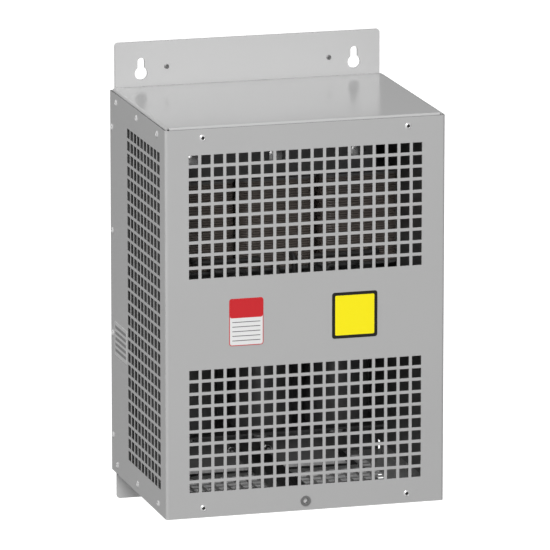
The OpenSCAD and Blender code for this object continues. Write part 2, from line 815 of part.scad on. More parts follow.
module earth_washer() color([0.8, 0.7, 0.4]) {
    difference() {
        rod_y(-earth_stud_x, earth_stud_z, plate_y - earth_washer_t, plate_y, earth_washer_d);
        rod_y(-earth_stud_x, earth_stud_z, plate_y - earth_washer_t - over, plate_y + over,
              earth_stud_d + 2 * hole_gap);
    }
}

// Arm from the foot of the mounting plate to the cover screw
module cover_arm() color([0.6, 0.6, 0.6]) {
    foot_y = plate_y - arm_web_t;
    difference() {
        union() {
            block([-arm_w / 2, arm_tab_y, arm_bot], [arm_w / 2, plate_y, arm_bot + arm_web_t]);
            for (x = [-arm_w / 2, arm_w / 2 - arm_web_t])
                block([x, arm_tab_y + arm_web_t, arm_bot], [x + arm_web_t, foot_y, arm_bot + arm_h]);
            block([-arm_w / 2, arm_tab_y, arm_bot], [arm_w / 2, arm_tab_y + arm_web_t, arm_bot + arm_tab_h]);
            block([-arm_foot_w / 2, foot_y, arm_bot], [arm_foot_w / 2, plate_y, arm_bot + arm_foot_h]);
        }
        rod_y(0, rivet_bot_z, arm_tab_y - over, arm_tab_y + arm_web_t + over, nut_body_d + hole_gap);
        foot_holes(arm_studs, arm_web_t);
    }
}

module rivet_nut() color([0.8, 0.8, 0.82]) {
    difference() {
        union() {
            rod_y(0, rivet_bot_z, nut_face_y, arm_tab_y, nut_flange_d);
            rod_y(0, rivet_bot_z, nut_face_y, nut_face_y + nut_body_l, nut_body_d);
        }
        rod_y(0, rivet_bot_z, nut_face_y - over, nut_face_y + nut_body_l + over,
              cover_screw_d + 2 * thread_gap);
    }
}

// Choke
module clamp_bolt_holes(d) {
    for (k = [0:2], z = [upper_bolt_z, lower_bolt_z])
        rod_y(limb_x(k), z, clamp_front_y - over, inner_y, d);
}

module yoke(z0) {
    difference() {
        block([-core_w / 2, yoke_front_y, z0], [core_w / 2, yoke_back_y, z0 + yoke_h]);
        clamp_bolt_holes(clamp_bolt_d + hole_gap);
    }
}

module upper_yoke() color([0.2, 0.2, 0.2]) yoke(core_top - yoke_h);

module lower_yoke() color([0.2, 0.2, 0.2]) yoke(core_bot);

module core_limbs() color([0.2, 0.2, 0.2]) {
    for (k = [0:2])
        block([limb_x(k) - limb_w / 2, yoke_front_y, core_bot + yoke_h],
              [limb_x(k) + limb_w / 2, yoke_back_y, core_top - yoke_h - air_gap]);
}

module air_gap_spacers() color([0.75, 0.68, 0.5]) {
    for (k = [0:2])
        block([limb_x(k) - limb_w / 2, yoke_front_y, core_top - yoke_h - air_gap],
              [limb_x(k) + limb_w / 2, yoke_back_y, core_top - yoke_h]);
}

module ring_outline(x, inner, outer, r) {
    half = [limb_w, core_stack] / 2;
    middle = [x, choke_y];
    difference() {
        rounded(middle - half - [outer, outer], middle + half + [outer, outer], r);
        rect(middle - half - [inner, inner], middle + half + [inner, inner]);
    }
}

module bobbins() color([0.15, 0.15, 0.15]) {
    low = core_bot + yoke_h + touch_gap;
    high = core_top - yoke_h - touch_gap;
    tube = touch_gap + bobbin_t;
    for (k = [0:2]) {
        between_z(low, high) ring_outline(limb_x(k), touch_gap, tube, bobbin_t);
        for (z = [low, high - bobbin_t])
            between_z(z, z + bobbin_t) ring_outline(limb_x(k), touch_gap, wrap_t + bobbin_rim, coil_corner_r);
    }
}

module coil(k) {
    between_z(coil_bot, coil_top)
        ring_outline(limb_x(k), touch_gap + bobbin_t, wrap_t, coil_corner_r);
}

module coil_u() color([0.35, 0.18, 0.1]) coil(0);

module coil_v() color([0.35, 0.18, 0.1]) coil(1);

module coil_w() color([0.35, 0.18, 0.1]) coil(2);

module upper_front_clamp() color([0.35, 0.35, 0.35]) {
    difference() {
        union() {
            block([-core_w / 2, clamp_front_y, core_top - yoke_h], [core_w / 2, yoke_front_y, core_top]);
            block([-core_w / 2, clamp_front_y - clamp_leg_d, core_top - clamp_t],
                  [core_w / 2, yoke_front_y, core_top]);
        }
        clamp_bolt_holes(clamp_bolt_d + hole_gap);
    }
}

module lower_front_clamp() color([0.35, 0.35, 0.35]) {
    difference() {
        block([-core_w / 2, clamp_front_y, core_bot - clamp_drop],
              [core_w / 2, yoke_front_y, core_bot + yoke_h]);
        clamp_bolt_holes(clamp_bolt_d + hole_gap);
        for (x = [-1, 1])
            rod_y(x * standoff_x(), rail_z, clamp_front_y - over, yoke_front_y + over,
                  standoff_w / 2 + hole_gap);
    }
}

// Bracket with its edge at z = 0 and its foot above, for the upper yoke
module rear_bracket() {
    difference() {
        union() {
            block([-core_w / 2, yoke_back_y, -yoke_h], [core_w / 2, yoke_back_y + clamp_t, 0]);
            block([-core_w / 2, yoke_back_y, -clamp_t], [core_w / 2, inner_y, 0]);
            block([-core_w / 2, inner_y - clamp_t, -clamp_t], [core_w / 2, inner_y, bracket_foot_h]);
        }
        for (k = [0:2])
            rod_y(limb_x(k), -yoke_h / 2, yoke_back_y - over, yoke_back_y + clamp_t + over,
                  clamp_bolt_d + hole_gap);
        for (x = [-1, 1])
            rod_y(x * bracket_bolt_spacing / 2, bracket_foot_h / 2, inner_y - clamp_t - over,
                  inner_y + over, choke_stud_d + 2 * hole_gap);
    }
}

module upper_rear_bracket() color([0.35, 0.35, 0.35]) translate([0, 0, core_top]) rear_bracket();

module lower_rear_bracket() color([0.35, 0.35, 0.35])
    translate([0, 0, core_bot]) mirror([0, 0, 1]) rear_bracket();

module clamp_bolts() color([0.78, 0.78, 0.8]) {
    grip_end = yoke_back_y + clamp_t + clamp_bolt_d * nut_h_share + stud_spare;
    for (k = [0:2], z = [upper_bolt_z, lower_bolt_z]) {
        rod_y(limb_x(k), z, clamp_front_y - clamp_bolt_d * head_h_share, grip_end, clamp_bolt_d);
        hex_y(limb_x(k), z, clamp_front_y - clamp_bolt_d * head_h_share, clamp_front_y,
              clamp_bolt_d * nut_w_share);
    }
}

module clamp_nuts() color([0.78, 0.78, 0.8]) {
    seat_y = yoke_back_y + clamp_t;
    for (k = [0:2], z = [upper_bolt_z, lower_bolt_z])
        difference() {
            hex_y(limb_x(k), z, seat_y, seat_y + clamp_bolt_d * nut_h_share, clamp_bolt_d * nut_w_share);
            rod_y(limb_x(k), z, seat_y - over, seat_y + clamp_bolt_d, clamp_bolt_d + 2 * thread_gap);
        }
}

// A wire through a list of points, with a round corner at each bend
module wire(points, d) {
    for (i = [0:len(points) - 2]) {
        step = points[i + 1] - points[i];
        length = norm(step);
        translate(points[i]) rotate([0, acos(step.z / length), atan2(step.y, step.x)])
            cylinder(h = length, d = d);
    }
    for (i = [1:len(points) - 2]) translate(points[i]) sphere(d = d);
}

// Start and finish of each winding, from the coil's front to the top of its terminal
module winding_leads() color([0.12, 0.12, 0.12]) {
    y = block_front_y + wire_depth;
    for (k = [0:2], finish = [0, 1]) {
        toward = k == 2 ? -1 : 1;
        x_end = terminal_x(2 * k + finish);
        outer = (k == 2 ? 1 - finish : finish);
        z = lead_levels[outer];
        x_start = k == 1 ? x_end : limb_x(k) - toward * (outer * 2 - 1) * lead_start_x;
        route = k == 1
            ? [[x_start, coil_front_y - touch_gap, z], [x_start, y, z], [x_end, y, lead_hole_end]]
            : [[x_start, coil_front_y - touch_gap, z], [x_start, y, z], [x_end, y, z],
               [x_end, y, lead_hole_end]];
        wire(route, lead_d);
    }
}

// Capacitors
module capacitor_shelf() color([0.55, 0.55, 0.55]) {
    front = inner_y - shelf_d;
    difference() {
        union() {
            block([-shelf_w / 2, front, shelf_top - shelf_t], [shelf_w / 2, inner_y, shelf_top]);
            block([-shelf_w / 2, inner_y - shelf_t, shelf_top - shelf_t - shelf_leg_h],
                  [shelf_w / 2, inner_y, shelf_top]);
        }
        for (k = [0:2])
            rod_z(cap_x(k), cap_y, shelf_top - shelf_t - over, shelf_top + over, cap_stud_d + 2 * touch_gap);
        foot_holes(shelf_studs, sheet_t + shelf_t);
    }
}

module capacitor_cans() color([0.16, 0.16, 0.17]) {
    for (k = [0:2])
        translate([cap_x(k), cap_y, shelf_top]) rotate_extrude($fn = fine_fn) difference() {
            union() {
                rect([0, 0], [cap_d / 2 - cap_rim, cap_h]);
                rect([0, cap_rim], [cap_d / 2, cap_h - cap_rim]);
                for (z = [cap_rim, cap_h - cap_rim])
                    translate([cap_d / 2 - cap_rim, z]) circle(cap_rim);
                rect([0, -cap_stud_l], [cap_stud_d / 2, over]);
            }
            rect([-cap_d, cap_h - cap_rim], [cap_lid_d / 2, cap_h + over]);
            rect([-cap_d, -cap_stud_l - over], [0, cap_h + over]);
        }
}

module capacitor_lids() color([0.2, 0.2, 0.2]) {
    for (k = [0:2]) rod_z(cap_x(k), cap_y, cap_top - cap_rim, cap_top - cap_rim + cap_lid_h, cap_lid_d);
}

module capacitor_tabs() color([0.8, 0.8, 0.78]) {
    low = cap_top - cap_rim + cap_lid_h;
    for (k = [0:2], y = [-tab_offset, tab_offset])
        block([cap_x(k) - tab_w / 2, cap_y + y - tab_t / 2, low],
              [cap_x(k) + tab_w / 2, cap_y + y + tab_t / 2, low + tab_h]);
}

module capacitor_nuts() color([0.78, 0.78, 0.8]) {
    z1 = shelf_top - shelf_t;
    z0 = z1 - cap_stud_d * nut_h_share;
    for (k = [0:2]) difference() {
        translate([cap_x(k), cap_y, z0])
            cylinder(h = z1 - z0, d = cap_stud_d * nut_w_share * 2 / sqrt(3), $fn = 6);
        rod_z(cap_x(k), cap_y, z0 - over, z1 + over, cap_stud_d + 2 * thread_gap);
    }
}

// Bare link that joins the capacitors' rear tabs at the star point
module star_link() color([0.75, 0.5, 0.35]) {
    low = cap_top - cap_rim + cap_lid_h + tab_h - link_h;
    y = cap_y + tab_offset + tab_t / 2;
    block([cap_x(0) - tab_w / 2, y, low], [cap_x(2) + tab_w / 2, y + link_t, low + link_h]);
}

module capacitor_leads() color([0.12, 0.12, 0.12]) {
    tab_z = cap_top - cap_rim + cap_lid_h + tab_h / 2;
    start_y = cap_y - tab_offset - tab_t / 2;
    for (k = [0:2]) {
        x_end = terminal_x(2 * k + 1);
        wire([[cap_x(k), start_y, tab_z], [cap_x(k), cap_lead_y, tab_z],
              [x_end, cap_lead_y, tab_z], [x_end, cap_lead_y, clamp_z]], cap_lead_d);
    }
}

// Terminals
function standoff_x() = terminal_x(terminals - 1);

module terminal_rail() color([0.75, 0.75, 0.7]) {
    half_l = terminals * terminal_pitch / 2 + stop_w + rail_spare;
    web = rail_h * rail_web_share / 2;
    difference() {
        between_x(-half_l, half_l) translate([0, rail_z]) {
            rect([rail_back_y - rail_t, -web], [rail_back_y, web]);
            for (side = [0, 1]) mirror([0, side]) {
                rect([rail_front_y, web - rail_t], [rail_back_y, web]);
                rect([rail_front_y, web - rail_t], [rail_front_y + rail_t, rail_h / 2]);
            }
        }
        for (x = [-1, 1])
            rod_y(x * standoff_x(), rail_z, rail_front_y, rail_back_y + over, standoff_w / 2 + hole_gap);
    }
}

// Hexagon standoffs: a spigot through the clamp bar behind and a screw end through the rail in front
module rail_standoffs() color([0.78, 0.78, 0.8]) {
    spigot_d = standoff_w / 2;
    for (x = [-1, 1]) {
        hex_y(x * standoff_x(), rail_z, rail_back_y, clamp_front_y, standoff_w);
        rod_y(x * standoff_x(), rail_z, rail_back_y - rail_t, yoke_front_y, spigot_d);
        rod_y(x * standoff_x(), rail_z, rail_back_y - rail_t - spigot_d * head_h_share,
              rail_back_y - rail_t, standoff_w);
    }
}

module rail_foot_outline(h, d) {
    lip = rail_h / 2 + block_gap;
    rect([block_back_y - d, rail_z - h / 2], [block_back_y, rail_z + h / 2]);
    for (side = [0, 1]) translate([0, rail_z]) mirror([0, side]) {
        rect([block_back_y - over, lip], [block_back_y + claw_t, lip + claw_t]);
        rect([rail_front_y + rail_t + block_gap, lip - claw_hook], [block_back_y + claw_t, lip + claw_t]);
    }
}

module end_stops() color([0.22, 0.22, 0.23]) {
    start = terminals * terminal_pitch / 2 + block_gap;
    for (side = [0, 1]) mirror([side, 0, 0])
        between_x(start, start + stop_w)
            rail_foot_outline(terminal_h * stop_h_share, terminal_d * stop_d_share);
}

module terminal_profile() {
    slope = terminal_h * front_slope_share;
    difference() {
        rail_foot_outline(terminal_h, terminal_d);
        for (side = [0, 1]) translate([block_front_y, rail_z]) mirror([0, side])
            polygon([[-over, terminal_h / 2 + over], [slope, terminal_h / 2 + over],
                     [slope, terminal_h / 2], [0, terminal_h / 2 - slope / 2],
                     [-over, terminal_h / 2 - slope / 2]]);
    }
}

module terminal_housings() color([0.22, 0.22, 0.23]) {
    half_w = (terminal_pitch - block_gap) / 2;
    bottom = rail_z - terminal_h / 2;
    for (i = [0:terminals - 1]) {
        x = terminal_x(i);
        difference() {
            between_x(x - half_w, x + half_w) terminal_profile();
            block([x - cavity_w / 2, block_front_y + cavity_start, clamp_z - cavity_h / 2],
                  [x + cavity_w / 2, block_front_y + cavity_end, clamp_z + cavity_h / 2]);
            block([x - bar_w / 2 - block_gap, block_front_y + bar_depth - block_gap, clamp_z],
                  [x + bar_w / 2 + block_gap, block_front_y + bar_depth + bar_t + block_gap,
                   bar_top_z() + block_gap]);
            rod_y(x, clamp_z, block_front_y - over, block_front_y + screw_seat, screw_well_d);
            rod_y(x, clamp_z, block_front_y, block_front_y + cavity_start + over,
                  clamp_screw_d + 2 * hole_gap);
            rod_z(x, block_front_y + cable_depth, bottom - over, clamp_z, cable_hole_d);
            rod_z(x, block_front_y + wire_depth, lead_hole_end - touch_gap, rail_z + terminal_h,
                  lead_d + 2 * block_gap);
            rod_z(x, cap_lead_y, bottom - over, clamp_z + touch_gap, cap_lead_d + 2 * block_gap);
        }
    }
}

function bar_top_z() = rail_z + terminal_h / 2 - 2 * claw_t;

module current_bars() color([0.78, 0.55, 0.4]) {
    for (i = [0:terminals - 1])
        block([terminal_x(i) - bar_w / 2, block_front_y + bar_depth, clamp_z - cavity_h / 2 + touch_gap],
              [terminal_x(i) + bar_w / 2, block_front_y + bar_depth + bar_t, bar_top_z()]);
}

// Clamp screw number n: it turns in place and draws its cage along
module terminal_screw(n) color([0.8, 0.8, 0.78]) {
    x = terminal_x(n - 1);
    seat_y = block_front_y + screw_seat;
    difference() {
        union() {
            rod_y(x, clamp_z, seat_y - screw_head_h, seat_y, screw_head_d);
            rod_y(x, clamp_z, seat_y - screw_head_h / 2, block_front_y + bar_depth - block_gap,
                  clamp_screw_d);
        }
        block([x - screw_head_d, seat_y - screw_head_h - over, clamp_z - slot_w / 2],
              [x + screw_head_d, seat_y - screw_head_h + slot_d, clamp_z + slot_w / 2]);
    }
}

// Clamp cage number n: a frame round the current bar, threaded on its screw, shown closed
module terminal_cage(n) color([0.82, 0.8, 0.7]) {
    x = terminal_x(n - 1);
    y0 = block_front_y + cage_front;
    y1 = block_front_y + cage_inner_end + cage_wall;
    difference() {
        block([x - cage_w / 2, y0, clamp_z - cage_h / 2], [x + cage_w / 2, y1, clamp_z + cage_h / 2]);
        block([x - cage_w / 2 + cage_side, y0 + cage_wall, clamp_z - cage_h],
              [x + cage_w / 2 - cage_side, y1 - cage_wall, clamp_z + cage_h]);
        rod_y(x, clamp_z, y0 - over, y0 + cage_wall + over, clamp_screw_d + 2 * thread_gap);
    }
}

hood_shell();
top_plate();
bottom_plate();
front_rivets();
side_rivets();
guide_rivets();
cable_edge_trim();
front_label_left();
front_label_right();
rating_plate();
screw_washer();
cover_screw();
back_plate();
hanger_strips();
flange_rivets();
plate_studs();
stud_nuts();
carrier_frame();
cover_arm();
rivet_nut();
earth_washer();
upper_yoke();
core_limbs();
lower_yoke();
air_gap_spacers();
bobbins();
coil_u();
coil_v();
coil_w();
upper_front_clamp();
lower_front_clamp();
upper_rear_bracket();
lower_rear_bracket();
clamp_bolts();
clamp_nuts();
winding_leads();
capacitor_shelf();
capacitor_cans();
capacitor_lids();
capacitor_tabs();
capacitor_nuts();
star_link();
capacitor_leads();
terminal_rail();
rail_standoffs();
end_stops();
terminal_housings();
current_bars();
terminal_screw(1);  // terminal_screw_1
terminal_screw(2);  // terminal_screw_2
terminal_screw(3);  // terminal_screw_3
terminal_screw(4);  // terminal_screw_4
terminal_screw(5);  // terminal_screw_5
terminal_screw(6);  // terminal_screw_6
terminal_cage(1);  // terminal_cage_1
terminal_cage(2);  // terminal_cage_2
terminal_cage(3);  // terminal_cage_3
terminal_cage(4);  // terminal_cage_4
terminal_cage(5);  // terminal_cage_5
terminal_cage(6);  // terminal_cage_6
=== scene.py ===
"""Looks of a wall-mounted three-phase sine wave filter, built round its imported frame."""
import math

import bmesh
import bpy
from mathutils import Matrix, Vector


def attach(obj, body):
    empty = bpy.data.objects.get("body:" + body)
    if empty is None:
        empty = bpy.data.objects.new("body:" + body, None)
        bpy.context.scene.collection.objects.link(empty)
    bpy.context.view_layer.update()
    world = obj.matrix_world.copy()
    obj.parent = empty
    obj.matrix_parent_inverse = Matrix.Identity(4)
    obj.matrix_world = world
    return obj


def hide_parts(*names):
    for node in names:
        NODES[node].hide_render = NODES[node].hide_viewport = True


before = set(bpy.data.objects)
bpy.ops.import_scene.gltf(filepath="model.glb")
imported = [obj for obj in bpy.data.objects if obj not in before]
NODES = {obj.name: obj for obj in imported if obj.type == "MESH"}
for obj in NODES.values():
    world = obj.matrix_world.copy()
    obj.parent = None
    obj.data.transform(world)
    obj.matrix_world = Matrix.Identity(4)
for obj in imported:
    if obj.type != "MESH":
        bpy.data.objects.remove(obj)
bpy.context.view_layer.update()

MM = 0.001


# Colours and small helpers

def tone(value):
    """Linear value of one sRGB channel from 0 to 1."""
    return value / 12.92 if value <= 0.04045 else ((value + 0.055) / 1.055) ** 2.4


def grey(level):
    """Linear colour of an sRGB grey from 0 to 255."""
    v = tone(level / 255)
    return (v, v, v, 1.0)


def colour(red, green, blue):
    """Linear colour of sRGB channels from 0 to 255."""
    return (tone(red / 255), tone(green / 255), tone(blue / 255), 1.0)


def mm(*values):
    return Vector([v * MM for v in values])


def link_object(name, mesh):
    piece = bpy.data.objects.new(name, mesh)
    bpy.context.scene.collection.objects.link(piece)
    return piece


def finished_mesh(name, bm, smooth_angle=40):
    """A mesh in metres from a bmesh in millimetres, with its doubles merged."""
    bmesh.ops.remove_doubles(bm, verts=bm.verts, dist=0.0005)
    bmesh.ops.recalc_face_normals(bm, faces=bm.faces)
    bmesh.ops.scale(bm, vec=(MM, MM, MM), verts=bm.verts)
    mesh = bpy.data.meshes.new(name)
    bm.to_mesh(mesh)
    bm.free()
    shade_by_angle(mesh, smooth_angle)
    return mesh


def shade_by_angle(mesh, angle):
    """Smooth shading with sharp edges where faces meet at more than the angle in degrees."""
    limit = math.cos(math.radians(angle))
    bm = bmesh.new()
    bm.from_mesh(mesh)
    for face in bm.faces:
        face.smooth = True
    for edge in bm.edges:
        faces = edge.link_faces
        edge.smooth = len(faces) == 2 and faces[0].normal.dot(faces[1].normal) > limit
    bm.to_mesh(mesh)
    bm.free()


def dress(piece, body, material=None, stands_for=()):
    """Puts a finished piece on its body and what it stands for."""
    if material is not None:
        piece.data.materials.clear()
        piece.data.materials.append(material)
    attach(piece, body)
    if stands_for:
        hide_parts(*stands_for)
    return piece


# Shader groups

def new_group(name, inputs, outputs):
    """A shader node group with named sockets: inputs are (name, kind, default)."""
    group = bpy.data.node_groups.new(name, "ShaderNodeTree")
    for label, kind, default in inputs:
        socket = group.interface.new_socket(name=label, in_out="INPUT", socket_type=kind)
        socket.default_value = default
    for label, kind in outputs:
        group.interface.new_socket(name=label, in_out="OUTPUT", socket_type=kind)
    start = group.nodes.new("NodeGroupInput")
    end = group.nodes.new("NodeGroupOutput")
    return group, start, end


def shader_math(nodes, links, operation, first, second=None, clamp=False):
    """A Math node on sockets or numbers, and its output."""
    node = nodes.new("ShaderNodeMath")
    node.operation = operation
    node.use_clamp = clamp
    for index, value in enumerate((first, second)):
        if value is None:
            continue
        if isinstance(value, (int, float)):
            node.inputs[index].default_value = value
        else:
            links.new(value, node.inputs[index])
    return node.outputs[0]


def noise(nodes, links, vector, scale, detail=2.0, roughness=0.5):
    node = nodes.new("ShaderNodeTexNoise")
    node.inputs["Detail"].default_value = detail
    node.inputs["Roughness"].default_value = roughness
    if isinstance(scale, (int, float)):
        node.inputs["Scale"].default_value = scale
    else:
        links.new(scale, node.inputs["Scale"])
    links.new(vector, node.inputs["Vector"])
    return node.outputs["Fac"]


def build_mottle():
    """Broad and fine variation of a finish: a colour and a roughness that wander a little."""
    group, start, end = new_group("finish_mottle", [
        ("Colour", "NodeSocketColor", (0.5, 0.5, 0.5, 1)),
        ("Shade", "NodeSocketColor", (0.4, 0.4, 0.4, 1)),
        ("Broad Scale", "NodeSocketFloat", 12.0),
        ("Fine Scale", "NodeSocketFloat", 400.0),
        ("Amount", "NodeSocketFloat", 0.3),
        ("Roughness", "NodeSocketFloat", 0.4),
        ("Roughness Spread", "NodeSocketFloat", 0.08),
    ], [("Colour", "NodeSocketColor"), ("Roughness", "NodeSocketFloat")])
    nodes, links = group.nodes, group.links
    place = nodes.new("ShaderNodeTexCoord").outputs["Object"]
    broad = noise(nodes, links, place, start.outputs["Broad Scale"], 3.0)
    fine = noise(nodes, links, place, start.outputs["Fine Scale"], 2.0)
    both = shader_math(nodes, links, "ADD", shader_math(nodes, links, "MULTIPLY", broad, 0.65),
                       shader_math(nodes, links, "MULTIPLY", fine, 0.35))
    stretched = shader_math(nodes, links, "MULTIPLY_ADD", both, 2.4)
    stretched.node.inputs[2].default_value = -0.7
    stretched.node.use_clamp = True
    share = shader_math(nodes, links, "MULTIPLY", stretched, start.outputs["Amount"], clamp=True)
    mix = nodes.new("ShaderNodeMix")
    mix.data_type = "RGBA"
    links.new(share, mix.inputs["Factor"])
    links.new(start.outputs["Colour"], mix.inputs["A"])
    links.new(start.outputs["Shade"], mix.inputs["B"])
    links.new(mix.outputs["Result"], end.inputs["Colour"])
    centred = shader_math(nodes, links, "SUBTRACT", both, 0.5)
    spread = shader_math(nodes, links, "MULTIPLY", centred, start.outputs["Roughness Spread"])
    doubled = shader_math(nodes, links, "MULTIPLY", spread, 4.0)
    total = shader_math(nodes, links, "ADD", doubled, start.outputs["Roughness"], clamp=True)
    links.new(total, end.inputs["Roughness"])
    return group


def build_fine_lines():
    """Rolling or drawing lines along one axis: noise squeezed across it."""
    group, start, end = new_group("fine_lines", [
        ("Squeeze", "NodeSocketVector", (1.0, 1.0, 60.0)),
        ("Scale", "NodeSocketFloat", 60.0),
    ], [("Mask", "NodeSocketFloat")])
    nodes, links = group.nodes, group.links
    place = nodes.new("ShaderNodeTexCoord").outputs["Object"]
    squeeze = nodes.new("ShaderNodeVectorMath")
    squeeze.operation = "MULTIPLY"
    links.new(place, squeeze.inputs[0])
    links.new(start.outputs["Squeeze"], squeeze.inputs[1])
    lines = noise(nodes, links, squeeze.outputs[0], start.outputs["Scale"], 3.0, 0.6)
    links.new(lines, end.inputs["Mask"])
    return group


def build_peel():
    """Relief of a sprayed or moulded skin."""
    group, start, end = new_group("skin_relief", [
        ("Scale", "NodeSocketFloat", 900.0),
        ("Coarse Share", "NodeSocketFloat", 0.4),
    ], [("Height", "NodeSocketFloat")])
    nodes, links = group.nodes, group.links
    place = nodes.new("ShaderNodeTexCoord").outputs["Object"]
    fine = noise(nodes, links, place, start.outputs["Scale"], 2.0)
    wide_scale = shader_math(nodes, links, "MULTIPLY", start.outputs["Scale"], 0.18)
    wide = noise(nodes, links, place, wide_scale, 1.0)
    part = shader_math(nodes, links, "MULTIPLY", wide, start.outputs["Coarse Share"])
    links.new(shader_math(nodes, links, "ADD", fine, part), end.inputs["Height"])
    return group


def build_dust():
    """Fine dust on what faces up: mixes a dust colour in by the slope and a patchy noise."""
    group, start, end = new_group("settled_dust", [
        ("Colour", "NodeSocketColor", (0.5, 0.5, 0.5, 1)),
        ("Dust Colour", "NodeSocketColor", grey(150)),
        ("Amount", "NodeSocketFloat", 0.2),
        ("Scale", "NodeSocketFloat", 90.0),
    ], [("Colour", "NodeSocketColor"), ("Mask", "NodeSocketFloat")])
    nodes, links = group.nodes, group.links
    coords = nodes.new("ShaderNodeTexCoord")
    split = nodes.new("ShaderNodeSeparateXYZ")
    links.new(coords.outputs["Normal"], split.inputs[0])
    up = shader_math(nodes, links, "POWER",
                     shader_math(nodes, links, "MAXIMUM", split.outputs["Z"], 0.0), 3.0)
    patches = noise(nodes, links, coords.outputs["Object"], start.outputs["Scale"], 4.0)
    level = shader_math(nodes, links, "MULTIPLY", up, patches)
    mask = shader_math(nodes, links, "MULTIPLY", level, start.outputs["Amount"], clamp=True)
    mix = nodes.new("ShaderNodeMix")
    mix.data_type = "RGBA"
    links.new(mask, mix.inputs["Factor"])
    links.new(start.outputs["Colour"], mix.inputs["A"])
    links.new(start.outputs["Dust Colour"], mix.inputs["B"])
    links.new(mix.outputs["Result"], end.inputs["Colour"])
    links.new(mask, end.inputs["Mask"])
    return group


def surface_place(nodes, links):
    """Place and normal of the shaded point in the piece's own axes, each split in X, Y and Z."""
    coords = nodes.new("ShaderNodeTexCoord")
    parts = []
    for label in ("Object", "Normal"):
        split = nodes.new("ShaderNodeSeparateXYZ")
        links.new(coords.outputs[label], split.inputs[0])
        parts.append(split.outputs)
    return parts


def build_bare_edges_and_shade():
    """Mask of the cut faces in the hood's front and sides, with sizes in metres: their darker grey is
    the bare punched edge and partly painted shade inside the holes.
    """
    group, start, end = new_group("bare_edges_and_shade", [
        ("Half Width", "NodeSocketFloat", 0.135), ("Depth", "NodeSocketFloat", 0.2),
        ("Skin", "NodeSocketFloat", 0.0016), ("Fold", "NodeSocketFloat", 0.0027),
    ], [("Mask", "NodeSocketFloat")])
    nodes, links = group.nodes, group.links

    def combine(operation, first, second=None):
        return shader_math(nodes, links, operation, first, second)

    place, normal = surface_place(nodes, links)
    across = combine("ABSOLUTE", place["X"])
    back = combine("ADD", place["Y"], start.outputs["Depth"])
    inner = combine("SUBTRACT", start.outputs["Half Width"], start.outputs["Skin"])
    flat = combine("SUBTRACT", start.outputs["Half Width"], start.outputs["Fold"])
    in_side = combine("MULTIPLY", combine("GREATER_THAN", across, inner),
                      combine("GREATER_THAN", back, start.outputs["Fold"]))
    in_front = combine("MULTIPLY", combine("LESS_THAN", back, start.outputs["Skin"]),
                       combine("LESS_THAN", across, flat))
    cut_side = combine("LESS_THAN", combine("ABSOLUTE", normal["X"]), 0.5)
    cut_front = combine("LESS_THAN", combine("ABSOLUTE", normal["Y"]), 0.5)
    links.new(combine("MAXIMUM", combine("MULTIPLY", in_side, cut_side),
                      combine("MULTIPLY", in_front, cut_front)), end.inputs["Mask"])
    return group


def build_plate_inner_shade():
    """Mask of painted shade on the mounting plate's front face inside the housing, with sizes in metres.
    """
    group, start, end = new_group("plate_inner_shade", [
        ("Half Width", "NodeSocketFloat", 0.134), ("Upper", "NodeSocketFloat", -0.036),
        ("Lower", "NodeSocketFloat", -0.402),
    ], [("Mask", "NodeSocketFloat")])
    nodes, links = group.nodes, group.links
    place, normal = surface_place(nodes, links)
    across = shader_math(nodes, links, "ABSOLUTE", place["X"])
    parts = [shader_math(nodes, links, "LESS_THAN", across, start.outputs["Half Width"]),
             shader_math(nodes, links, "LESS_THAN", place["Z"], start.outputs["Upper"]),
             shader_math(nodes, links, "GREATER_THAN", place["Z"], start.outputs["Lower"]),
             shader_math(nodes, links, "LESS_THAN", normal["Y"], -0.5)]
    mask = parts[0]
    for part in parts[1:]:
        mask = shader_math(nodes, links, "MULTIPLY", mask, part)
    links.new(mask, end.inputs["Mask"])
    return group


MOTTLE = build_mottle()
build_bare_edges_and_shade()
build_plate_inner_shade()
FINE_LINES = build_fine_lines()
SKIN = build_peel()
DUST = build_dust()


def place_group(nodes, group, values):
    node = nodes.new("ShaderNodeGroup")
    node.node_tree = group
    for label, value in values.items():
        node.inputs[label].default_value = value
    return node


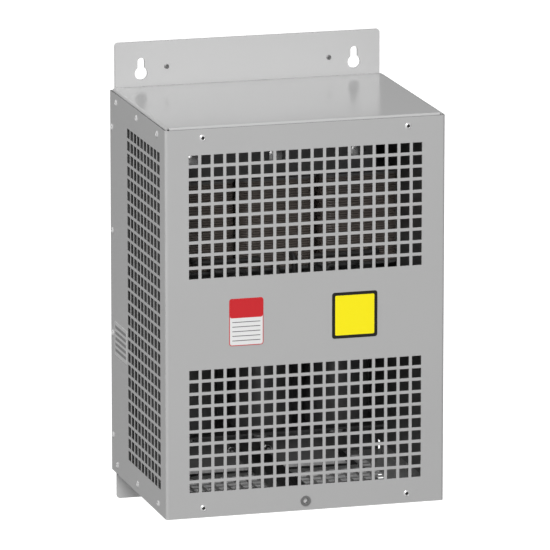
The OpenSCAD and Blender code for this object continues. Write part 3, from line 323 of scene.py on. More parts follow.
def finish(name, base, shade=None, amount=0.35, roughness=0.4, spread=0.06, metal=0.0,
           broad=14.0, fine=500.0, relief=0.0, relief_scale=900.0, dust=0.0, lines=None,
           lines_depth=0.0, coat=0.0, coat_roughness=0.15, specular=0.5, mask=None,
           masked=None):
    """A procedural finish: mottled colour and roughness, skin relief, lines, dust, and a masked second
    colour that some parts use for painted shade.
    """
    material = bpy.data.materials.new(name)
    material.use_nodes = True
    nodes, links = material.node_tree.nodes, material.node_tree.links
    shader = nodes["Principled BSDF"]
    shader.inputs["Metallic"].default_value = metal
    shader.inputs["Coat Weight"].default_value = coat
    shader.inputs["Coat Roughness"].default_value = coat_roughness
    shader.inputs["Specular IOR Level"].default_value = specular
    if shade is None:
        shade = tuple(c * 0.86 for c in base[:3]) + (1.0,)
    mottle = place_group(nodes, MOTTLE, {
        "Colour": base, "Shade": shade, "Broad Scale": broad, "Fine Scale": fine,
        "Amount": amount, "Roughness": roughness, "Roughness Spread": spread})
    out_colour = mottle.outputs["Colour"]
    if dust:
        settled = place_group(nodes, DUST, {"Amount": dust})
        links.new(out_colour, settled.inputs["Colour"])
        out_colour = settled.outputs["Colour"]
    # A mask lays a second colour over the finish: painted shade on the mounting plate, bare edges with
    # painted shade on the hood's cut faces.
    if mask:
        edges = place_group(nodes, bpy.data.node_groups[mask], {})
        mix = nodes.new("ShaderNodeMix")
        mix.data_type = "RGBA"
        mix.inputs["B"].default_value = masked
        links.new(edges.outputs["Mask"], mix.inputs["Factor"])
        links.new(out_colour, mix.inputs["A"])
        out_colour = mix.outputs["Result"]
    links.new(out_colour, shader.inputs["Base Color"])
    links.new(mottle.outputs["Roughness"], shader.inputs["Roughness"])
    normal = None
    if relief:
        skin = place_group(nodes, SKIN, {"Scale": relief_scale})
        bump = nodes.new("ShaderNodeBump")
        bump.inputs["Strength"].default_value = 1.0
        bump.inputs["Distance"].default_value = relief * MM
        links.new(skin.outputs["Height"], bump.inputs["Height"])
        normal = bump.outputs["Normal"]
    if lines:
        drawn = place_group(nodes, FINE_LINES, {"Squeeze": lines})
        bump = nodes.new("ShaderNodeBump")
        bump.inputs["Strength"].default_value = 1.0
        bump.inputs["Distance"].default_value = lines_depth * MM
        links.new(drawn.outputs["Mask"], bump.inputs["Height"])
        if normal is not None:
            links.new(normal, bump.inputs["Normal"])
        normal = bump.outputs["Normal"]
    if normal is not None:
        links.new(normal, shader.inputs["Normal"])
    return material


PAINT = finish("housing_paint", grey(180), grey(175), amount=0.5, roughness=0.2, spread=0.03,
               broad=9.0, fine=700.0, relief=0.003, relief_scale=700.0, coat=0.12,
               coat_roughness=0.1)
# The hood paint turns a darker grey on the cut faces of its holes: bare punched edges, partly painted
# shade inside the holes.
HOOD_PAINT = finish("hood_paint", grey(180), grey(175), amount=0.5, roughness=0.2, spread=0.03,
                    broad=9.0, fine=700.0, relief=0.003, relief_scale=700.0, coat=0.12,
                    coat_roughness=0.1, mask="bare_edges_and_shade", masked=grey(72))
CARRIER_PAINT = finish("carrier_paint", grey(92), grey(82), amount=0.5, roughness=0.5,
                       relief=0.015, relief_scale=900.0, dust=0.2)
# The mounting plate's paint is a lighter copy of the housing paint as painted light for the light thrown
# onto its flange, and it takes painted shade on its face inside the housing.
PLATE_PAINT_LIT_SHADED = finish("plate_paint_light_and_shade", grey(198), grey(193), amount=0.5, roughness=0.24,
                     spread=0.03, broad=9.0, fine=700.0, relief=0.003, relief_scale=700.0,
                     mask="plate_inner_shade", masked=grey(84))
SCREW_HEAD = finish("bright_screw", grey(246), grey(230), amount=0.5, roughness=0.2, spread=0.06,
                    metal=0.2, broad=220.0, fine=2600.0, relief=0.003, relief_scale=2500.0)
DULL_METAL = finish("dull_metal", grey(140), grey(120), amount=0.6, roughness=0.4, metal=0.5,
                     broad=220.0, fine=2600.0)
ZINC = finish("bright_zinc", grey(206), grey(170), amount=0.6, roughness=0.24, spread=0.08,
              metal=1.0, broad=160.0, fine=2200.0, relief=0.004, relief_scale=2500.0)
RIVET_METAL = finish("rivet_aluminium", grey(240), grey(218), amount=0.5, roughness=0.24,
                     spread=0.08, metal=0.45, broad=220.0, fine=2600.0, relief=0.004,
                     relief_scale=2500.0)
GALVANISED = finish("galvanised_sheet", grey(104), grey(86), amount=0.8, roughness=0.5,
                    spread=0.12, metal=0.6, broad=70.0, fine=600.0, relief=0.003)
BRASS = finish("brass_washer", colour(200, 168, 96), amount=0.5, roughness=0.3, metal=1.0,
               broad=200.0, fine=2000.0)
LAMINATION = finish("varnished_laminations", grey(104), grey(88), amount=0.8, roughness=0.42,
                    spread=0.12, metal=0.4, broad=60.0, fine=900.0, lines=(1, 1200, 1),
                    lines_depth=0.02, dust=0.25)
BOBBIN = finish("bobbin_plastic", grey(100), grey(90), amount=0.5, roughness=0.5, relief=0.01,
                dust=0.3)
SPACER = finish("gap_spacer", colour(176, 158, 112), colour(150, 130, 88), amount=0.7,
                roughness=0.65, relief=0.02, relief_scale=500.0)
WINDING = finish("varnished_winding", colour(112, 104, 99), colour(94, 87, 82), amount=0.8,
                 roughness=0.34, spread=0.1, broad=60.0, fine=900.0, coat=0.4, dust=0.15)
CLAMP_PAINT = finish("clamp_paint", grey(100), grey(90), amount=0.5, roughness=0.45, relief=0.015,
                     relief_scale=900.0, dust=0.3)
WIRE = finish("wire_sleeve", grey(54), grey(44), amount=0.5, roughness=0.48, relief=0.006,
              relief_scale=1600.0, dust=0.15)
CAN = finish("capacitor_sleeve", grey(88), grey(76), amount=0.6, roughness=0.4, spread=0.08,
             relief=0.006, relief_scale=500.0, dust=0.1)
DARK_PLASTIC = finish("moulded_plastic", grey(84), grey(74), amount=0.5, roughness=0.5,
                      relief=0.012, relief_scale=1400.0, dust=0.2)
TINNED = finish("tinned_tabs", grey(205), grey(180), amount=0.6, roughness=0.32, metal=1.0,
                broad=200.0, fine=1600.0)
COPPER = finish("bare_copper", colour(196, 128, 92), colour(150, 88, 60), amount=0.7,
                roughness=0.35, metal=1.0, broad=120.0, fine=1400.0)
RUBBER = finish("rubber_edging", grey(30), grey(22), amount=0.6, roughness=0.62, relief=0.012,
                relief_scale=1300.0, dust=0.2)
LABEL_WHITE = finish("label_white", grey(232), grey(224), amount=0.4, roughness=0.34,
                     relief=0.002, relief_scale=1200.0)
LABEL_RED = finish("label_red", colour(206, 36, 44), colour(196, 28, 36), amount=0.4,
                   roughness=0.34)
LABEL_BLACK = finish("label_black", grey(26), grey(20), amount=0.4, roughness=0.34)
LABEL_GREY = finish("label_grey", grey(96), grey(84), amount=0.4, roughness=0.34)
LABEL_YELLOW = finish("label_yellow", colour(255, 240, 8), colour(252, 234, 4), amount=0.4,
                      roughness=0.34, relief=0.002, relief_scale=1200.0)
LABEL_SILVER = finish("label_silver", grey(208), grey(196), amount=0.6, roughness=0.36,
                      metal=0.2, broad=60.0, fine=1800.0)
LABEL_FIELD = finish("label_field", grey(142), grey(132), amount=0.5, roughness=0.4, metal=0.2)
# Near-black painted shade for the rivets' bores, laid on the mandrel stubs that sit in them.
BORE_SHADE = finish("bore_painted_shade", grey(28), grey(20), amount=0.5, roughness=0.6)

NODE_FINISH = {
    HOOD_PAINT: ["hood_shell"],
    PAINT: ["top_plate", "bottom_plate"],
    CARRIER_PAINT: ["carrier_frame"],
    PLATE_PAINT_LIT_SHADED: ["back_plate", "hanger_strips"],
    RIVET_METAL: ["front_rivets", "side_rivets", "guide_rivets"],
    SCREW_HEAD: ["cover_screw"],
    DULL_METAL: ["screw_washer", "flange_rivets"],
    ZINC: ["plate_studs", "stud_nuts", "rivet_nut", "clamp_bolts",
           "clamp_nuts", "capacitor_nuts", "rail_standoffs"]
          + [f"terminal_screw_{i}" for i in range(1, 7)]
          + [f"terminal_cage_{i}" for i in range(1, 7)],
    GALVANISED: ["cover_arm", "capacitor_shelf", "terminal_rail"],
    BRASS: ["earth_washer"],
    LAMINATION: ["upper_yoke", "core_limbs", "lower_yoke"],
    SPACER: ["air_gap_spacers"],
    BOBBIN: ["bobbins"],
    WINDING: ["coil_u", "coil_v", "coil_w"],
    CLAMP_PAINT: ["upper_front_clamp", "lower_front_clamp", "upper_rear_bracket",
                  "lower_rear_bracket"],
    WIRE: ["winding_leads", "capacitor_leads"],
    CAN: ["capacitor_cans"],
    DARK_PLASTIC: ["capacitor_lids", "terminal_housings", "end_stops"],
    TINNED: ["capacitor_tabs"],
    COPPER: ["star_link", "current_bars"],
    RUBBER: ["cable_edge_trim"],
    LABEL_WHITE: ["front_label_left"],
    LABEL_YELLOW: ["front_label_right"],
    LABEL_SILVER: ["rating_plate"],
}
for material, names in NODE_FINISH.items():
    for name in names:
        NODES[name].data.materials.clear()
        NODES[name].data.materials.append(material)


# Solids in plain code

def lathe(bm, profile, centre=(0, 0, 0), turns=32):
    """A profile of (radius, height) turned round Z; points on the axis close it."""
    rings = []
    for radius, height in profile:
        if radius < 1e-6:
            rings.append([bm.verts.new((centre[0], centre[1], centre[2] + height))])
            continue
        rings.append([bm.verts.new((centre[0] + radius * math.cos(2 * math.pi * i / turns),
                                    centre[1] + radius * math.sin(2 * math.pi * i / turns),
                                    centre[2] + height)) for i in range(turns)])
    for lower, upper in zip(rings, rings[1:]):
        for i in range(turns):
            j = (i + 1) % turns
            if len(lower) == 1 and len(upper) == 1:
                continue
            if len(lower) == 1:
                bm.faces.new((lower[0], upper[j], upper[i]))
            elif len(upper) == 1:
                bm.faces.new((lower[i], lower[j], upper[0]))
            else:
                bm.faces.new((lower[i], lower[j], upper[j], upper[i]))


def turned(name, profile, turns=32, smooth_angle=40):
    bm = bmesh.new()
    lathe(bm, profile, turns=turns)
    return finished_mesh(name, bm, smooth_angle)


def prism_y(bm, outline, y0, y1):
    """An X-Z outline between two depths, closed."""
    front = [bm.verts.new((x, y0, z)) for x, z in outline]
    back = [bm.verts.new((x, y1, z)) for x, z in outline]
    bm.faces.new(front)
    bm.faces.new(back[::-1])
    for i in range(len(outline)):
        j = (i + 1) % len(outline)
        bm.faces.new((front[i], back[i], back[j], front[j]))


def rounded_outline(x0, z0, x1, z1, radius, steps=6):
    points = []
    for cx, cz, start in ((x1 - radius, z1 - radius, 0), (x0 + radius, z1 - radius, 90),
                          (x0 + radius, z0 + radius, 180), (x1 - radius, z0 + radius, 270)):
        for i in range(steps + 1):
            a = math.radians(start + 90 * i / steps)
            points.append((cx + radius * math.cos(a), cz + radius * math.sin(a)))
    return points


def hex_nut_profile(bm, across, height, bore, closed=False, turns=48):
    """A hexagon with its corners turned off at the far end, bored or closed as a bolt head."""
    crown = across / 2 * 0.96
    lower, side, ring = [], [], []
    for i in range(turns):
        a = 2 * math.pi * i / turns
        off = (a + math.pi / 6) % (math.pi / 3) - math.pi / 6
        radius = across / 2 / math.cos(off)
        c, s = math.cos(a), math.sin(a)
        lower.append(bm.verts.new((radius * c, radius * s, 0)))
        drop = max(0.0, radius - crown) * 0.577
        side.append(bm.verts.new((radius * c, radius * s, height - drop)))
        ring.append(bm.verts.new((crown * c, crown * s, height)))
    rows = [lower, side, ring]
    if closed:
        for row, z in ((ring, height), (lower, 0.0)):
            middle = bm.verts.new((0, 0, z))
            for i in range(turns):
                bm.faces.new((row[i], row[(i + 1) % turns], middle))
    else:
        def circle(radius, z):
            return [bm.verts.new((radius * math.cos(2 * math.pi * i / turns),
                                  radius * math.sin(2 * math.pi * i / turns), z))
                    for i in range(turns)]
        lead = bore * 1.12
        rows = [circle(bore, height * 0.1), circle(lead, 0.0)] + rows \
            + [circle(lead, height), circle(bore, height * 0.9)]
        rows.append(rows[0])
    for first, second in zip(rows, rows[1:]):
        for i in range(turns):
            j = (i + 1) % turns
            bm.faces.new((first[i], first[j], second[j], second[i]))


def cut_away(mesh, cutter, name):
    """The mesh less the cutter, both in metres."""
    body, tool = link_object(name + "_body", mesh), link_object(name + "_tool", cutter)
    modifier = body.modifiers.new("cut", "BOOLEAN")
    modifier.operation = "DIFFERENCE"
    modifier.object = tool
    modifier.solver = "EXACT"
    bpy.context.view_layer.update()
    graph = bpy.context.evaluated_depsgraph_get()
    result = bpy.data.meshes.new_from_object(body.evaluated_get(graph), depsgraph=graph)
    for spare in (body, tool):
        bpy.data.objects.remove(spare)
    result.name = name
    shade_by_angle(result, 35)
    return result


def placed(mesh, matrix, name):
    """A copy of a mesh in metres moved by a matrix given in millimetres."""
    copy = mesh.copy()
    copy.name = name
    matrix = matrix.copy()
    matrix.translation = matrix.translation * MM
    copy.transform(matrix)
    return copy


FACE_FRONT = Matrix.Rotation(math.radians(90), 4, "X")


def tube(bm, points, radius, bend, turns=14):
    """A round wire through points in millimetres, with bends of the given radius."""
    points = [Vector(p) for p in points]
    path = [points[0]]
    for before, corner, after in zip(points, points[1:], points[2:]):
        into, out = (corner - before).normalized(), (after - corner).normalized()
        turn = into.angle(out)
        reach = min(bend * math.tan(turn / 2), (corner - before).length * 0.48,
                    (after - corner).length * 0.48)
        start, end = corner - into * reach, corner + out * reach
        for i in range(9):
            t = i / 8
            path.append(start * (1 - t) ** 2 + corner * 2 * t * (1 - t) + end * t ** 2)
    path.append(points[-1])
    side = None
    rings = []
    for i, point in enumerate(path):
        ahead = path[min(i + 1, len(path) - 1)] - path[max(i - 1, 0)]
        ahead.normalize()
        if side is None:
            side = ahead.orthogonal().normalized()
        side = (side - ahead * side.dot(ahead)).normalized()
        other = ahead.cross(side)
        rings.append([bm.verts.new(point + (side * math.cos(2 * math.pi * k / turns)
                                            + other * math.sin(2 * math.pi * k / turns)) * radius)
                      for k in range(turns)])
    for lower, upper in zip(rings, rings[1:]):
        for k in range(turns):
            j = (k + 1) % turns
            bm.faces.new((lower[k], lower[j], upper[j], upper[k]))
    bm.faces.new(rings[0][::-1])
    bm.faces.new(rings[-1])


# Geometry trees

def new_tree(name, inputs):
    tree = bpy.data.node_groups.new(name, "GeometryNodeTree")
    tree.interface.new_socket(name="Geometry", in_out="OUTPUT", socket_type="NodeSocketGeometry")
    tree.interface.new_socket(name="Geometry", in_out="INPUT", socket_type="NodeSocketGeometry")
    for label, kind, default in inputs:
        socket = tree.interface.new_socket(name=label, in_out="INPUT", socket_type=kind)
        if default is not None:
            socket.default_value = default
    return tree, tree.nodes.new("NodeGroupInput"), tree.nodes.new("NodeGroupOutput")


def close_tree(tree, start, end, geometry):
    """Realize Instances and Set Material, then the output."""
    real = tree.nodes.new("GeometryNodeRealizeInstances")
    tree.links.new(geometry, real.inputs["Geometry"])
    coat = tree.nodes.new("GeometryNodeSetMaterial")
    tree.links.new(real.outputs["Geometry"], coat.inputs["Geometry"])
    tree.links.new(start.outputs["Finish"], coat.inputs["Material"])
    tree.links.new(coat.outputs["Geometry"], end.inputs["Geometry"])


def build_unit_on_points():
    """A unit object on each vertex of a seed mesh, aimed and sized by its attributes."""
    tree, start, end = new_tree("unit_on_points", [
        ("Unit", "NodeSocketObject", None), ("Finish", "NodeSocketMaterial", None),
        ("Largest Turn", "NodeSocketFloat", 0.0), ("Seed", "NodeSocketInt", 1)])
    nodes, links = tree.nodes, tree.links

    def attribute(label):
        node = nodes.new("GeometryNodeInputNamedAttribute")
        node.data_type = "FLOAT_VECTOR"
        node.inputs["Name"].default_value = label
        return node.outputs["Attribute"]

    info = nodes.new("GeometryNodeObjectInfo")
    info.inputs["As Instance"].default_value = True
    links.new(start.outputs["Unit"], info.inputs["Object"])
    aim = nodes.new("FunctionNodeAlignRotationToVector")
    aim.axis = "Z"
    links.new(attribute("aim"), aim.inputs["Vector"])
    chance = nodes.new("FunctionNodeRandomValue")
    chance.data_type = "FLOAT"
    links.new(start.outputs["Largest Turn"], chance.inputs[3])
    links.new(start.outputs["Seed"], chance.inputs["Seed"])
    angles = nodes.new("ShaderNodeCombineXYZ")
    links.new(chance.outputs[1], angles.inputs["Z"])
    turn = nodes.new("FunctionNodeEulerToRotation")
    links.new(angles.outputs[0], turn.inputs[0])
    both = nodes.new("FunctionNodeRotateRotation")
    both.rotation_space = "LOCAL"
    links.new(aim.outputs[0], both.inputs[0])
    links.new(turn.outputs[0], both.inputs[1])
    spread = nodes.new("GeometryNodeInstanceOnPoints")
    links.new(start.outputs["Geometry"], spread.inputs["Points"])
    links.new(info.outputs["Geometry"], spread.inputs["Instance"])
    links.new(both.outputs[0], spread.inputs["Rotation"])
    links.new(attribute("size"), spread.inputs["Scale"])
    close_tree(tree, start, end, spread.outputs["Instances"])
    return tree


def build_sheets():
    """A sheet repeated at a pitch, each shifted a little by a fixed seed: a lamination stack."""
    tree, start, end = new_tree("stacked_sheets", [
        ("Finish", "NodeSocketMaterial", None), ("Count", "NodeSocketInt", 60),
        ("Step", "NodeSocketVector", (0.0, 0.001, 0.0)),
        ("Slip", "NodeSocketVector", (0.00004, 0.0, 0.00004)), ("Seed", "NodeSocketInt", 1)])
    nodes, links = tree.nodes, tree.links
    line = nodes.new("GeometryNodeMeshLine")
    links.new(start.outputs["Count"], line.inputs["Count"])
    links.new(start.outputs["Step"], line.inputs["Offset"])
    chance = nodes.new("FunctionNodeRandomValue")
    chance.data_type = "FLOAT_VECTOR"
    back = nodes.new("ShaderNodeVectorMath")
    back.operation = "SCALE"
    back.inputs["Scale"].default_value = -1.0
    links.new(start.outputs["Slip"], back.inputs[0])
    links.new(back.outputs[0], chance.inputs[0])
    links.new(start.outputs["Slip"], chance.inputs[1])
    links.new(start.outputs["Seed"], chance.inputs["Seed"])
    shift = nodes.new("GeometryNodeSetPosition")
    links.new(line.outputs["Mesh"], shift.inputs["Geometry"])
    links.new(chance.outputs[0], shift.inputs["Offset"])
    spread = nodes.new("GeometryNodeInstanceOnPoints")
    links.new(shift.outputs["Geometry"], spread.inputs["Points"])
    links.new(start.outputs["Geometry"], spread.inputs["Instance"])
    close_tree(tree, start, end, spread.outputs["Instances"])
    return tree


def build_winding():
    """Turns of round wire on a closed path, repeated along Z over a packed core."""
    tree, start, end = new_tree("wound_turns", [
        ("Core", "NodeSocketObject", None), ("Finish", "NodeSocketMaterial", None),
        ("Turns", "NodeSocketInt", 36), ("Step", "NodeSocketVector", (0.0, 0.0, 0.0023)),
        ("Wire Radius", "NodeSocketFloat", 0.0011)])
    nodes, links = tree.nodes, tree.links
    path = nodes.new("GeometryNodeMeshToCurve")
    links.new(start.outputs["Geometry"], path.inputs["Mesh"])
    ring = nodes.new("GeometryNodeCurvePrimitiveCircle")
    ring.inputs["Resolution"].default_value = 8
    links.new(start.outputs["Wire Radius"], ring.inputs["Radius"])
    sweep = nodes.new("GeometryNodeCurveToMesh")
    links.new(path.outputs["Curve"], sweep.inputs["Curve"])
    links.new(ring.outputs["Curve"], sweep.inputs["Profile Curve"])
    line = nodes.new("GeometryNodeMeshLine")
    links.new(start.outputs["Turns"], line.inputs["Count"])
    links.new(start.outputs["Step"], line.inputs["Offset"])
    spread = nodes.new("GeometryNodeInstanceOnPoints")
    links.new(line.outputs["Mesh"], spread.inputs["Points"])
    links.new(sweep.outputs["Mesh"], spread.inputs["Instance"])
    info = nodes.new("GeometryNodeObjectInfo")
    links.new(start.outputs["Core"], info.inputs["Object"])
    join = nodes.new("GeometryNodeJoinGeometry")
    links.new(spread.outputs["Instances"], join.inputs["Geometry"])
    links.new(info.outputs["Geometry"], join.inputs["Geometry"])
    close_tree(tree, start, end, join.outputs["Geometry"])
    return tree


def build_thread():
    """A rod with a helical ridge: the rod is the base geometry."""
    tree, start, end = new_tree("threaded_rod", [
        ("Finish", "NodeSocketMaterial", None), ("Turns", "NodeSocketFloat", 8.0),
        ("Helix Radius", "NodeSocketFloat", 0.0024), ("Length", "NodeSocketFloat", 0.01),
        ("Ridge", "NodeSocketFloat", 0.0003), ("Start", "NodeSocketVector", (0.0, 0.0, 0.0))])
    nodes, links = tree.nodes, tree.links
    helix = nodes.new("GeometryNodeCurveSpiral")
    helix.inputs["Resolution"].default_value = 24
    links.new(start.outputs["Turns"], helix.inputs["Rotations"])
    links.new(start.outputs["Helix Radius"], helix.inputs["Start Radius"])
    links.new(start.outputs["Helix Radius"], helix.inputs["End Radius"])
    links.new(start.outputs["Length"], helix.inputs["Height"])
    ridge = nodes.new("GeometryNodeCurvePrimitiveCircle")
    ridge.inputs["Resolution"].default_value = 4
    links.new(start.outputs["Ridge"], ridge.inputs["Radius"])
    sweep = nodes.new("GeometryNodeCurveToMesh")
    links.new(helix.outputs["Curve"], sweep.inputs["Curve"])
    links.new(ridge.outputs["Curve"], sweep.inputs["Profile Curve"])
    sweep.inputs["Fill Caps"].default_value = True
    lower = nodes.new("GeometryNodeTransform")
    links.new(sweep.outputs["Mesh"], lower.inputs["Geometry"])
    links.new(start.outputs["Start"], lower.inputs["Translation"])
    join = nodes.new("GeometryNodeJoinGeometry")
    links.new(lower.outputs["Geometry"], join.inputs["Geometry"])
    links.new(start.outputs["Geometry"], join.inputs["Geometry"])
    close_tree(tree, start, end, join.outputs["Geometry"])
    return tree


UNIT_TREE, SHEET_TREE = build_unit_on_points(), build_sheets()
WINDING_TREE, THREAD_TREE = build_winding(), build_thread()


def grown(name, base, tree, values, smooth_angle=40):
    """The mesh that a tree makes from a base mesh, with its inputs set by their names."""
    holder = link_object(name + "_base", base)
    modifier = holder.modifiers.new("tree", "NODES")
    modifier.node_group = tree
    sockets = {item.name: item.identifier for item in tree.interface.items_tree
               if item.item_type == "SOCKET" and item.in_out == "INPUT"}
    for label, value in values.items():
        modifier[sockets[label]] = value
    bpy.context.view_layer.update()
    graph = bpy.context.evaluated_depsgraph_get()
    mesh = bpy.data.meshes.new_from_object(holder.evaluated_get(graph), depsgraph=graph)
    holder.modifiers.remove(modifier)
    bpy.data.objects.remove(holder)
    for label in ("aim", "size"):
        if label in mesh.attributes:
            mesh.attributes.remove(mesh.attributes[label])
    mesh.name = name
    shade_by_angle(mesh, smooth_angle)
    return mesh


def seed_mesh(name, places):
    """Points with an aim and a size: places are (position in mm, aim, size)."""
    mesh = bpy.data.meshes.new(name)
    mesh.from_pydata([Vector(p) * MM for p, _, _ in places], [], [])
    for label, index in (("aim", 1), ("size", 2)):
        data = mesh.attributes.new(label, "FLOAT_VECTOR", "POINT").data
        for item, place in zip(data, places):
            item.vector = place[index]
    return mesh


def on_points(name, unit, places, material, largest_turn=0.0, seed=1):
    """One mesh with the unit mesh at each place."""
    holder = link_object(name + "_unit", unit)
    mesh = grown(name, seed_mesh(name + "_places", places), UNIT_TREE, {
        "Unit": holder, "Finish": material, "Largest Turn": largest_turn, "Seed": seed})
    bpy.data.objects.remove(holder)
    return mesh


def thread_mesh(name, diameter, pitch, length, material, tip=0.6):
    """A threaded rod from z = 0 down, in millimetres."""
    core = diameter / 2 - pitch * 0.54
    base = turned(name + "_core", [(0, 0), (core, 0), (core, -length + tip), (core - tip * 0.7,
                  -length), (0, -length)], turns=24)
    ridge = pitch * 0.52
    reach = length - 2 * ridge - tip
    return grown(name, base, THREAD_TREE, {
        "Finish": material, "Turns": reach / pitch, "Helix Radius": (diameter / 2 - ridge) * MM,
        "Length": reach * MM, "Ridge": ridge * MM, "Start": (0.0, 0.0, -(reach + ridge) * MM)}, 60)


# Sizes of the dressed pieces

HALF_W, FRONT, TOP, BOTTOM, PLATE = 135.0, -200.0, -24.0, -396.0, -3.0
RIVET_TOP, RIVET_BOTTOM = TOP - 10.5, BOTTOM + 9.0
CHOKE_Y, CORE_TOP, CORE_BOTTOM, LIMB_X = -61.8, -58.0, -223.0, (-80.0, 0.0, 80.0)
TERMINAL_W, TERMINAL_FRONT, HEAD_DEPTH, CLAMP_Z = 16.0, -159.5, 7.0, -237.0
TERMINAL_X = [(i - 2.5) * TERMINAL_W for i in range(6)]
CAP_X, CAP_Y, CAP_H, CAP_STUD_D = (-75.0, 0.0, 75.0), -44.5, 82.5, 12.0
SHELF_TOP, SHELF_T = -350.0, 2.0
FORWARD, RIGHT, LEFT, UP, DOWN = (0, -1, 0), (1, 0, 0), (-1, 0, 0), (0, 0, 1), (0, 0, -1)
BACKWARD, WHOLE = (0, 1, 0), (1, 1, 1)
FRONT_RIVET_X, FLANGE_RIVET_X, FLANGE_RIVET_RISE = 99.0, 80.0, 18.0
SIDE_RIVET_INSET, SIDE_RIVET_PITCH = 28.5, 74.5
GUIDE_RIVET_Y, GUIDE_RIVET_DROP, GUIDE_RIVET_PITCH = -7.0, 36.5, 100.0
ANY_TURN, HEX_TURN = 6.28, 1.04
THREAD_PITCH = {8.0: 1.25, 6.0: 1.0, 5.0: 0.8, 4.0: 0.7}
YOKE_H, LIMB_HALF, CORE_HALF_W, CORE_HALF_D = 38.0, 20.0, 100.0, 30.0
YOKE_FRONT, YOKE_BACK = CHOKE_Y - CORE_HALF_D, CHOKE_Y + CORE_HALF_D
CLAMP_T, CLAMP_BOLT_D, LEAD_BEND_Y, TAB_LEAD_Y = 3.0, 8.0, -134.7, -126.1


def set_piece(name, mesh, body, stands_for=(), material=None):
    return dress(link_object(name, mesh), body, material, stands_for)


# Rivets

def rivet_unit(name, grip):
    """A domed blind rivet with its seat at z = 0: rolled rim, bored crown, upset end."""
    head_r, head_h = 3.25, 1.5
    ball = (head_r ** 2 + head_h ** 2) / (2 * head_h)
    dome = [(r, math.sqrt(ball ** 2 - r ** 2) - ball + head_h) for r in (2.05, 2.3, 2.6, 2.9, 3.1)]
    crown = [(1.1, -grip), (1.1, 0.1), (1.55, 0.2), (1.62, 0.86), (1.82, 1.0)]
    shank = [(3.24, 0.12), (3.2, 0.0), (1.6, 0.0), (1.6, -grip)]
    upset = [(2.3, 0.4), (2.4, 1.4), (2.1, 2.6), (1.2, 3.0), (1.1, 3.0), (1.1, 0.0)]
    return turned(name, crown + dome + shank + [(r, -grip - below) for r, below in upset], 28)


def broken_mandrel(name, grip):
    """What stays of a rivet's mandrel: a torn end deep in the bore, its head at the far end."""
    torn_end = [(0, 0.45), (0.5, 0.5), (1.0, 0.3), (1.5, 0.34), (1.5, 0.24), (1.05, 0.12)]
    far_end = [(1.05, -grip - 2.0), (0.9, -grip - 2.9), (0, -grip - 2.9)]
    return turned(name, torn_end + far_end, 16, 30)


def rivets(node, places, grip, seed):
    """The heads and the mandrels of one node's blind rivets, each turned by chance."""
    unit = rivet_unit(node + "_shape", grip)
    set_piece(node + "_heads", on_points(node, unit, places, RIVET_METAL, ANY_TURN, seed),
              "hood", (node,))
    # The mandrel stubs take the near-black painted shade of the bore.
    stub = broken_mandrel(node + "_stub", grip)
    set_piece(node + "_mandrels", on_points(node + "_mandrels", stub, places, BORE_SHADE, ANY_TURN,
              seed + 1), "hood")


rivets("front_rivets", [((x, FRONT, z), FORWARD, WHOLE) for x in (-FRONT_RIVET_X, FRONT_RIVET_X)
                        for z in (RIVET_TOP, RIVET_BOTTOM)], 3.0, 3)
rivets("side_rivets", [
    ((side[0] * HALF_W, FRONT + SIDE_RIVET_INSET + k * SIDE_RIVET_PITCH, z), side, WHOLE)
    for side in (LEFT, RIGHT) for k in range(3) for z in (RIVET_TOP, RIVET_BOTTOM)], 3.0, 7)
rivets("guide_rivets", [
    ((side[0] * HALF_W, GUIDE_RIVET_Y, TOP - GUIDE_RIVET_DROP - k * GUIDE_RIVET_PITCH), side, WHOLE)
    for side in (LEFT, RIGHT) for k in range(4)], 4.0, 11)
flat = turned("flat_rivet", [(1.1, -1.4), (1.1, 0.55), (1.3, 0.72), (1.9, 0.68), (2.3, 0.35),
                             (2.38, 0.0), (1.6, 0.0), (1.6, -3.0), (0, -3.0), (0, -1.4),
                             (1.1, -1.4)], 28)
set_piece("flange_rivet_heads", on_points("flange_rivet_heads", flat, [
    ((x, PLATE, z), FORWARD, WHOLE) for x in (-FLANGE_RIVET_X, FLANGE_RIVET_X)
    for z in (TOP + FLANGE_RIVET_RISE, BOTTOM - FLANGE_RIVET_RISE)],
    DULL_METAL, ANY_TURN, 5), "chassis", ("flange_rivets",))


# Cover screw

def cross_cutter(name, depth, half_length, half_width):
    """A tapered cross for the drive of a pan head, open at z = 0 and pointing down."""
    bm = bmesh.new()
    for turn in (0, 90):
        rows = []
        for z, share in ((1.0, 1.25), (-depth, 0.55)):
            rows.append([bm.verts.new(Matrix.Rotation(math.radians(turn), 3, "Z") @ Vector(
                (x * half_length * share, y * half_width * (0.4 + 0.6 * share), z)))
                for x, y in ((-1, -1), (1, -1), (1, 1), (-1, 1))])
        bm.faces.new(rows[0])
        bm.faces.new(rows[1][::-1])
        for i in range(4):
            j = (i + 1) % 4
            bm.faces.new((rows[0][i], rows[1][i], rows[1][j], rows[0][j]))
    bmesh.ops.recalc_face_normals(bm, faces=bm.faces)
    bmesh.ops.scale(bm, vec=(MM, MM, MM), verts=bm.verts)
    mesh = bpy.data.meshes.new(name)
    bm.to_mesh(mesh)
    bm.free()
    return mesh


def pan_head(name, radius, height, shank, reach, drive_turn):
    """A pan head over z = 0 with a cross drive, and the plain part of its shank."""
    edge = radius - 0.02
    profile = [(0, -reach), (shank, -reach), (shank, 0), (edge - 0.25, 0), (edge, 0.25),
               (edge, height * 0.42), (edge * 0.96, height * 0.62), (edge * 0.86, height * 0.8),
               (edge * 0.68, height * 0.93), (edge * 0.4, height * 0.99), (0, height)]
    head = turned(name + "_head", profile, 48, 30)
    cutter = cross_cutter(name + "_cutter", height * 0.62, radius * 0.56, radius * 0.13)
    cutter.transform(Matrix.Rotation(math.radians(drive_turn), 4, "Z"))
    cutter.transform(Matrix.Translation((0, 0, height * MM)))
    return cut_away(head, cutter, name)


def join_meshes(name, meshes):
    bm = bmesh.new()
    for mesh in meshes:
        bm.from_mesh(mesh)
    mesh = bpy.data.meshes.new(name)
    bm.to_mesh(mesh)
    bm.free()
    shade_by_angle(mesh, 38)
    return mesh


